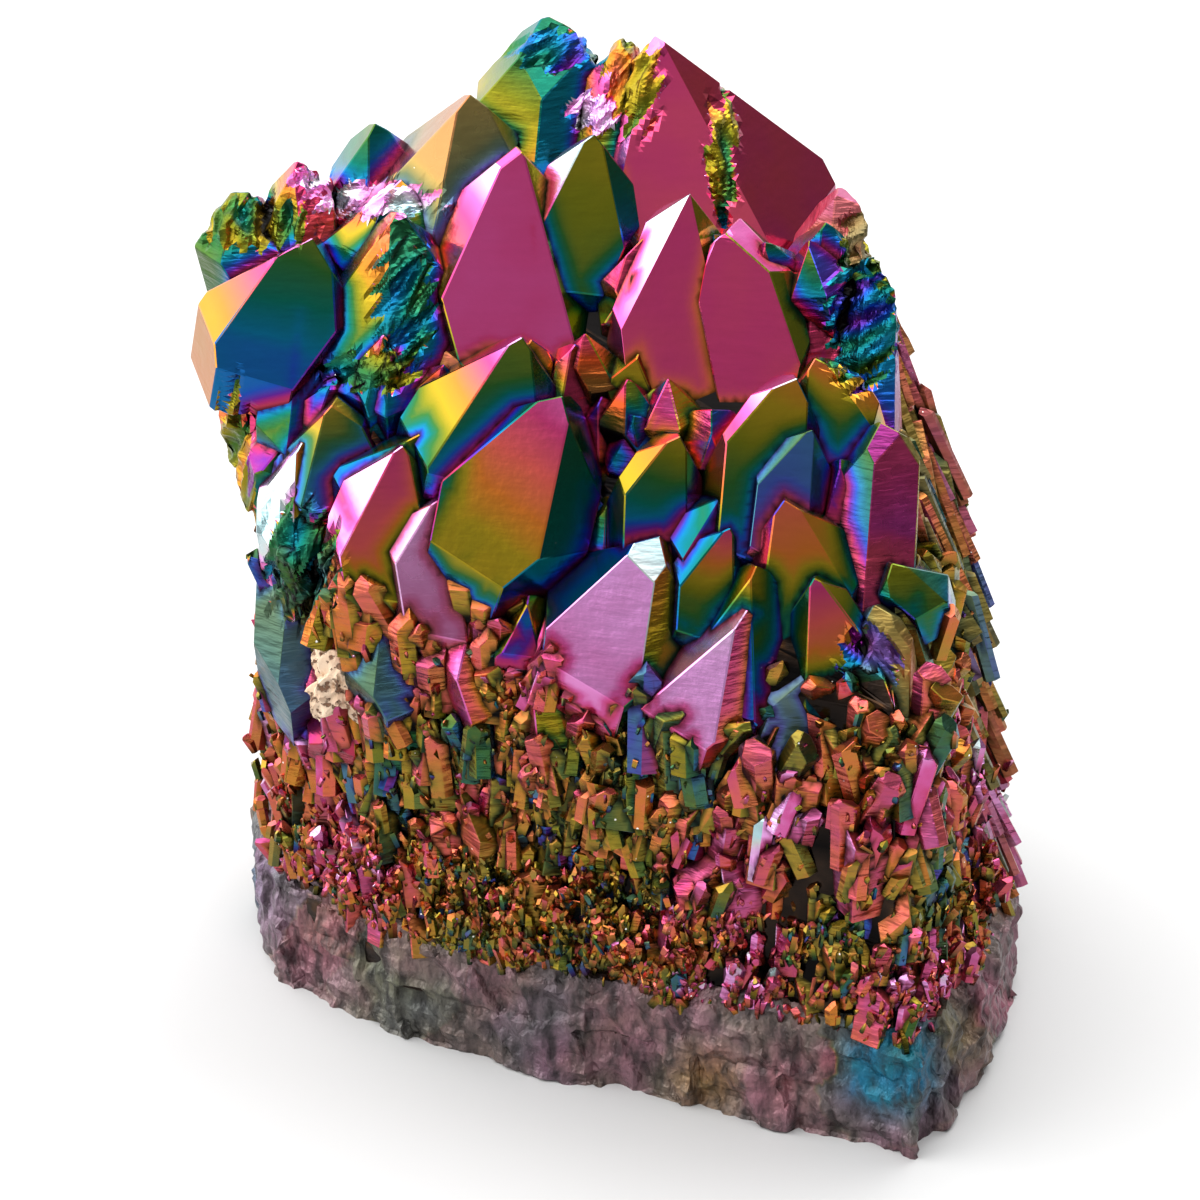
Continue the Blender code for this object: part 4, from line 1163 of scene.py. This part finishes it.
def rind_finish(film):
    """Satin purple-grey rock with a thin tint of the coating."""
    material, tree, shader = new_finish("broken_rind")
    place = add(tree, "TexCoord").outputs["Object"]
    zones = add(tree, "TexNoise", {"Vector": place, "Scale": 90.0, "Detail": 3.0}).outputs["Fac"]
    streaks = add(tree, "Mapping", {
        "Vector": place, "Rotation": (0.0, 0.5, 0.0), "Scale": (900.0, 900.0, 330.0)
    }).outputs[0]
    threads = add(tree, "TexNoise", {"Vector": streaks, "Scale": 1.0, "Detail": 4.0}).outputs["Fac"]
    grain = add(tree, "TexNoise", {"Vector": place, "Scale": 1500.0, "Detail": 4.0}).outputs["Fac"]
    base = add(tree, "ValToRGB", {"Fac": zones})
    base.color_ramp.elements[0].position = 0.38
    base.color_ramp.elements[0].color = linear(84, 84, 88)
    base.color_ramp.elements[1].position = 0.66
    base.color_ramp.elements[1].color = linear(128, 96, 106)
    base.color_ramp.elements.new(0.5).color = linear(98, 92, 84)
    tint = placed(tree, film, Film=kept_value(tree, "film"), Wander=0.1, Size=240.0)["Color"]
    strength = times(tree, kept_value(tree, "tint"), plus(tree, threads, 0.3))
    stained = mixed(tree, strength, base.outputs[0], tint)
    # Painted shade: the rock is darkened along the low streaks of its relief, where the bump sinks it.
    dark = add(tree, "ValToRGB", {"Fac": threads})
    dark.color_ramp.elements[0].position = 0.36
    dark.color_ramp.elements[0].color = (0.25, 0.25, 0.25, 1.0)
    dark.color_ramp.elements[1].position = 0.56
    both = {"Factor": 1.0, 6: stained, 7: dark.outputs[0]}
    shaded = add(tree, "Mix", both, data_type="RGBA", blend_type="MULTIPLY")
    tree.links.new(shaded.outputs[2], shader["Base Color"])
    tree.links.new(plus(tree, times(tree, grain, 0.4), 0.18), shader["Roughness"])
    shader["Metallic"].default_value = RIND_METALLIC
    height = plus(tree, threads, times(tree, grain, 0.5))
    bumped = add(tree, "Bump", {"Height": height, "Strength": 1.0, "Distance": 0.5 * MM})
    tree.links.new(bumped.outputs[0], shader["Normal"])
    return material


def tan_finish():
    """Matt porous tan mineral."""
    material, tree, shader = new_finish("porous_tan_crust")
    place = add(tree, "TexCoord").outputs["Object"]
    zones = add(tree, "TexNoise", {"Vector": place, "Scale": 500.0, "Detail": 4.0}).outputs["Fac"]
    holes = add(tree, "TexNoise", {"Vector": place, "Scale": 1700.0, "Detail": 3.0}).outputs["Fac"]
    colour = mixed(tree, zones, linear(196, 150, 112), linear(244, 226, 202))
    # Painted shade: the pores, where the bump sinks the surface, are coloured darker.
    open_share = add(tree, "MapRange", {"Value": holes, "From Min": 0.36, "From Max": 0.44}).outputs[0]
    tree.links.new(mixed(tree, open_share, linear(132, 96, 72), colour), shader["Base Color"])
    tree.links.new(plus(tree, times(tree, zones, 0.2), 0.7), shader["Roughness"])
    bumped = add(tree, "Bump", {"Height": open_share, "Strength": 1.0, "Distance": 0.25 * MM})
    tree.links.new(bumped.outputs[0], shader["Normal"])
    return material


# The studio: its soft windows and, last, a dark wall, as bearing, height, inner and outer half-width
# in degrees, and strength
WINDOWS = [
    (-100, 18, 22, 62, 3.2), (-30, 78, 6, 36, 2.6), (30, 58, 3, 13, 4.0), (180, 25, 20, 60, 1.3),
    (80, 8, 20, 75, -0.28),
]
ROOM_LOW, ROOM_HIGH = 0.38, 0.9
LAMP_PLACE, LAMP_SIZE, LAMP_POWER = (0.16, 0.16, 0.5), 0.35, 1.5
FLOOR_RADIUS, FLOOR_GREY, FLOOR_ROUGH = 0.45, 0.5, 0.9


def studio():
    """Soft light from all round, brightest from the left and from above, and plain white where the camera
    sees past everything.
    """
    world = bpy.data.worlds.new("studio")
    bpy.context.scene.world = world
    world.use_nodes = True
    tree = world.node_tree
    way = add(tree, "TexCoord").outputs["Generated"]
    height = add(tree, "SeparateXYZ", {0: way}).outputs["Z"]
    light = add(tree, "MapRange", {
        "Value": height, "From Min": 0.0, "From Max": 1.0, "To Min": ROOM_LOW, "To Max": ROOM_HIGH
    }).outputs[0]
    for bearing, lift, inner, outer, strength in WINDOWS:
        aim = facing(math.radians(bearing), math.radians(lift))
        near = add(tree, "VectorMath", {0: way, 1: aim}, operation="DOT_PRODUCT").outputs["Value"]
        share = add(tree, "MapRange", {
            "Value": near, "To Min": 0.0, "To Max": strength,
            "From Min": math.cos(math.radians(outer)), "From Max": math.cos(math.radians(inner)),
        }, interpolation_type="SMOOTHSTEP").outputs[0]
        light = plus(tree, light, share)
    to_camera = add(tree, "LightPath").outputs["Is Camera Ray"]
    plain = times(tree, light, reckoned(tree, "SUBTRACT", 1.0, to_camera))
    strength = plus(tree, plain, to_camera)
    tree.links.new(strength, tree.nodes["Background"].inputs["Strength"])
    tree.nodes["Background"].inputs["Color"].default_value = (1.0, 1.0, 1.0, 1.0)
    lamp = bpy.data.lights.new("overhead", "AREA")
    lamp.shape, lamp.size, lamp.energy = "DISK", LAMP_SIZE, LAMP_POWER
    above = bpy.data.objects.new("overhead", lamp)
    above.location = LAMP_PLACE
    above.rotation_euler = Vector(above.location).to_track_quat("Z", "Y").to_euler()
    bpy.context.scene.collection.objects.link(above)


def white_floor():
    """A plain pale floor."""
    bm = bmesh.new()
    bmesh.ops.create_circle(bm, cap_ends=True, segments=96, radius=FLOOR_RADIUS)
    mesh = bpy.data.meshes.new("floor")
    bm.to_mesh(mesh)
    bm.free()
    floor = bpy.data.objects.new("floor", mesh)
    material, _, shader = new_finish("white_paper")
    shader["Base Color"].default_value = (FLOOR_GREY, FLOOR_GREY, FLOOR_GREY, 1.0)
    shader["Roughness"].default_value = FLOOR_ROUGH
    mesh.materials.append(material)
    bpy.context.scene.collection.objects.link(floor)


def camera():
    """The camera at the photograph's place."""
    data = bpy.data.cameras.new("front")
    data.lens, data.sensor_width = LENS_MM, SENSOR_MM
    data.clip_start, data.clip_end = NEAREST_SEEN, FURTHEST_SEEN
    eye = bpy.data.objects.new("front", data)
    eye.location = EYE * MM
    eye.rotation_euler = (math.pi / 2 - EYE_TILT, 0.0, 0.0)
    bpy.context.scene.collection.objects.link(eye)
    bpy.context.scene.camera = eye


POINT_PIECES = [("front_points", "point"), ("gap_points", "gap"), ("back_points", "back")]
CRUST_PIECES = [
    ("broken_columns", "column"), ("chunk_core", "core"), ("front_crust", "front_crust"),
    ("side_crust", "side_crust"), ("back_crust", "back_crust"),
]


def grown():
    """All the crystals: the core, the columns round it, the points and the crust over the walls."""
    growth = Growth()
    bm = chunk_hull()
    chunk = bm.copy()
    growth.add("core", bm, Matrix.Identity(4), 0.0, CORE_SHADE_COAT, CORE_SPAN, CORE_STEP, random.Random(0))
    wall_columns(growth, chunk)
    chunk.free()
    named_points(growth)
    gap_points(growth)
    back_points(growth)
    points, owners, triangles, _ = growth.gathered()
    surface = BVHTree.FromPolygons(points.tolist(), triangles.tolist())
    crust_crystals(growth, surface, owners[triangles[:, 0]])
    return growth


def whole_surface(growth, cut, rock):
    """The crystals and the rind as one surface, and which of its triangles stay bare of grains."""
    points, owners, triangles, _ = cut
    rock_points, rock_triangles = rock
    both = np.concatenate([points, rock_points])
    both_triangles = np.concatenate([triangles, rock_triangles + len(points)])
    surface = BVHTree.FromPolygons(both.tolist(), both_triangles.tolist())
    smooth = np.array([solid.kind in POINT_KINDS for solid in growth.solids])
    bare = np.concatenate([smooth[owners[triangles[:, 0]]], np.zeros(len(rock_triangles), dtype=bool)])
    return surface, bare


def main():
    camera()
    studio()
    white_floor()
    bpy.context.scene.view_settings.view_transform = "Standard"

    film, relief, specks = interference_film(), growth_relief(), bright_specks()
    smooth = coated_finish("titanium_coated_points", film, relief, specks, ON_POINTS)
    broken = coated_finish("titanium_coated_crust", film, relief, specks, ON_CRUST)

    growth = grown()
    beside = Beside(growth.solids)
    cut = cut_finely(growth, beside)
    coating = film_on(growth, beside, cut)
    crystal_pieces(growth, cut, coating, POINT_PIECES, smooth)
    crystal_pieces(growth, cut, coating, CRUST_PIECES, broken)

    rock = rind_mesh()
    surface, bare = whole_surface(growth, cut, rock)
    crust_grains(surface, bare, broken)
    film_there, tint = rind_values(rock[0])
    stained = {"film": film_there, "tint": tint}
    piece("rind", rock[0], rock[1], rind_finish(film), point_values=stained)
    tan_crust(surface, tan_finish())


main()
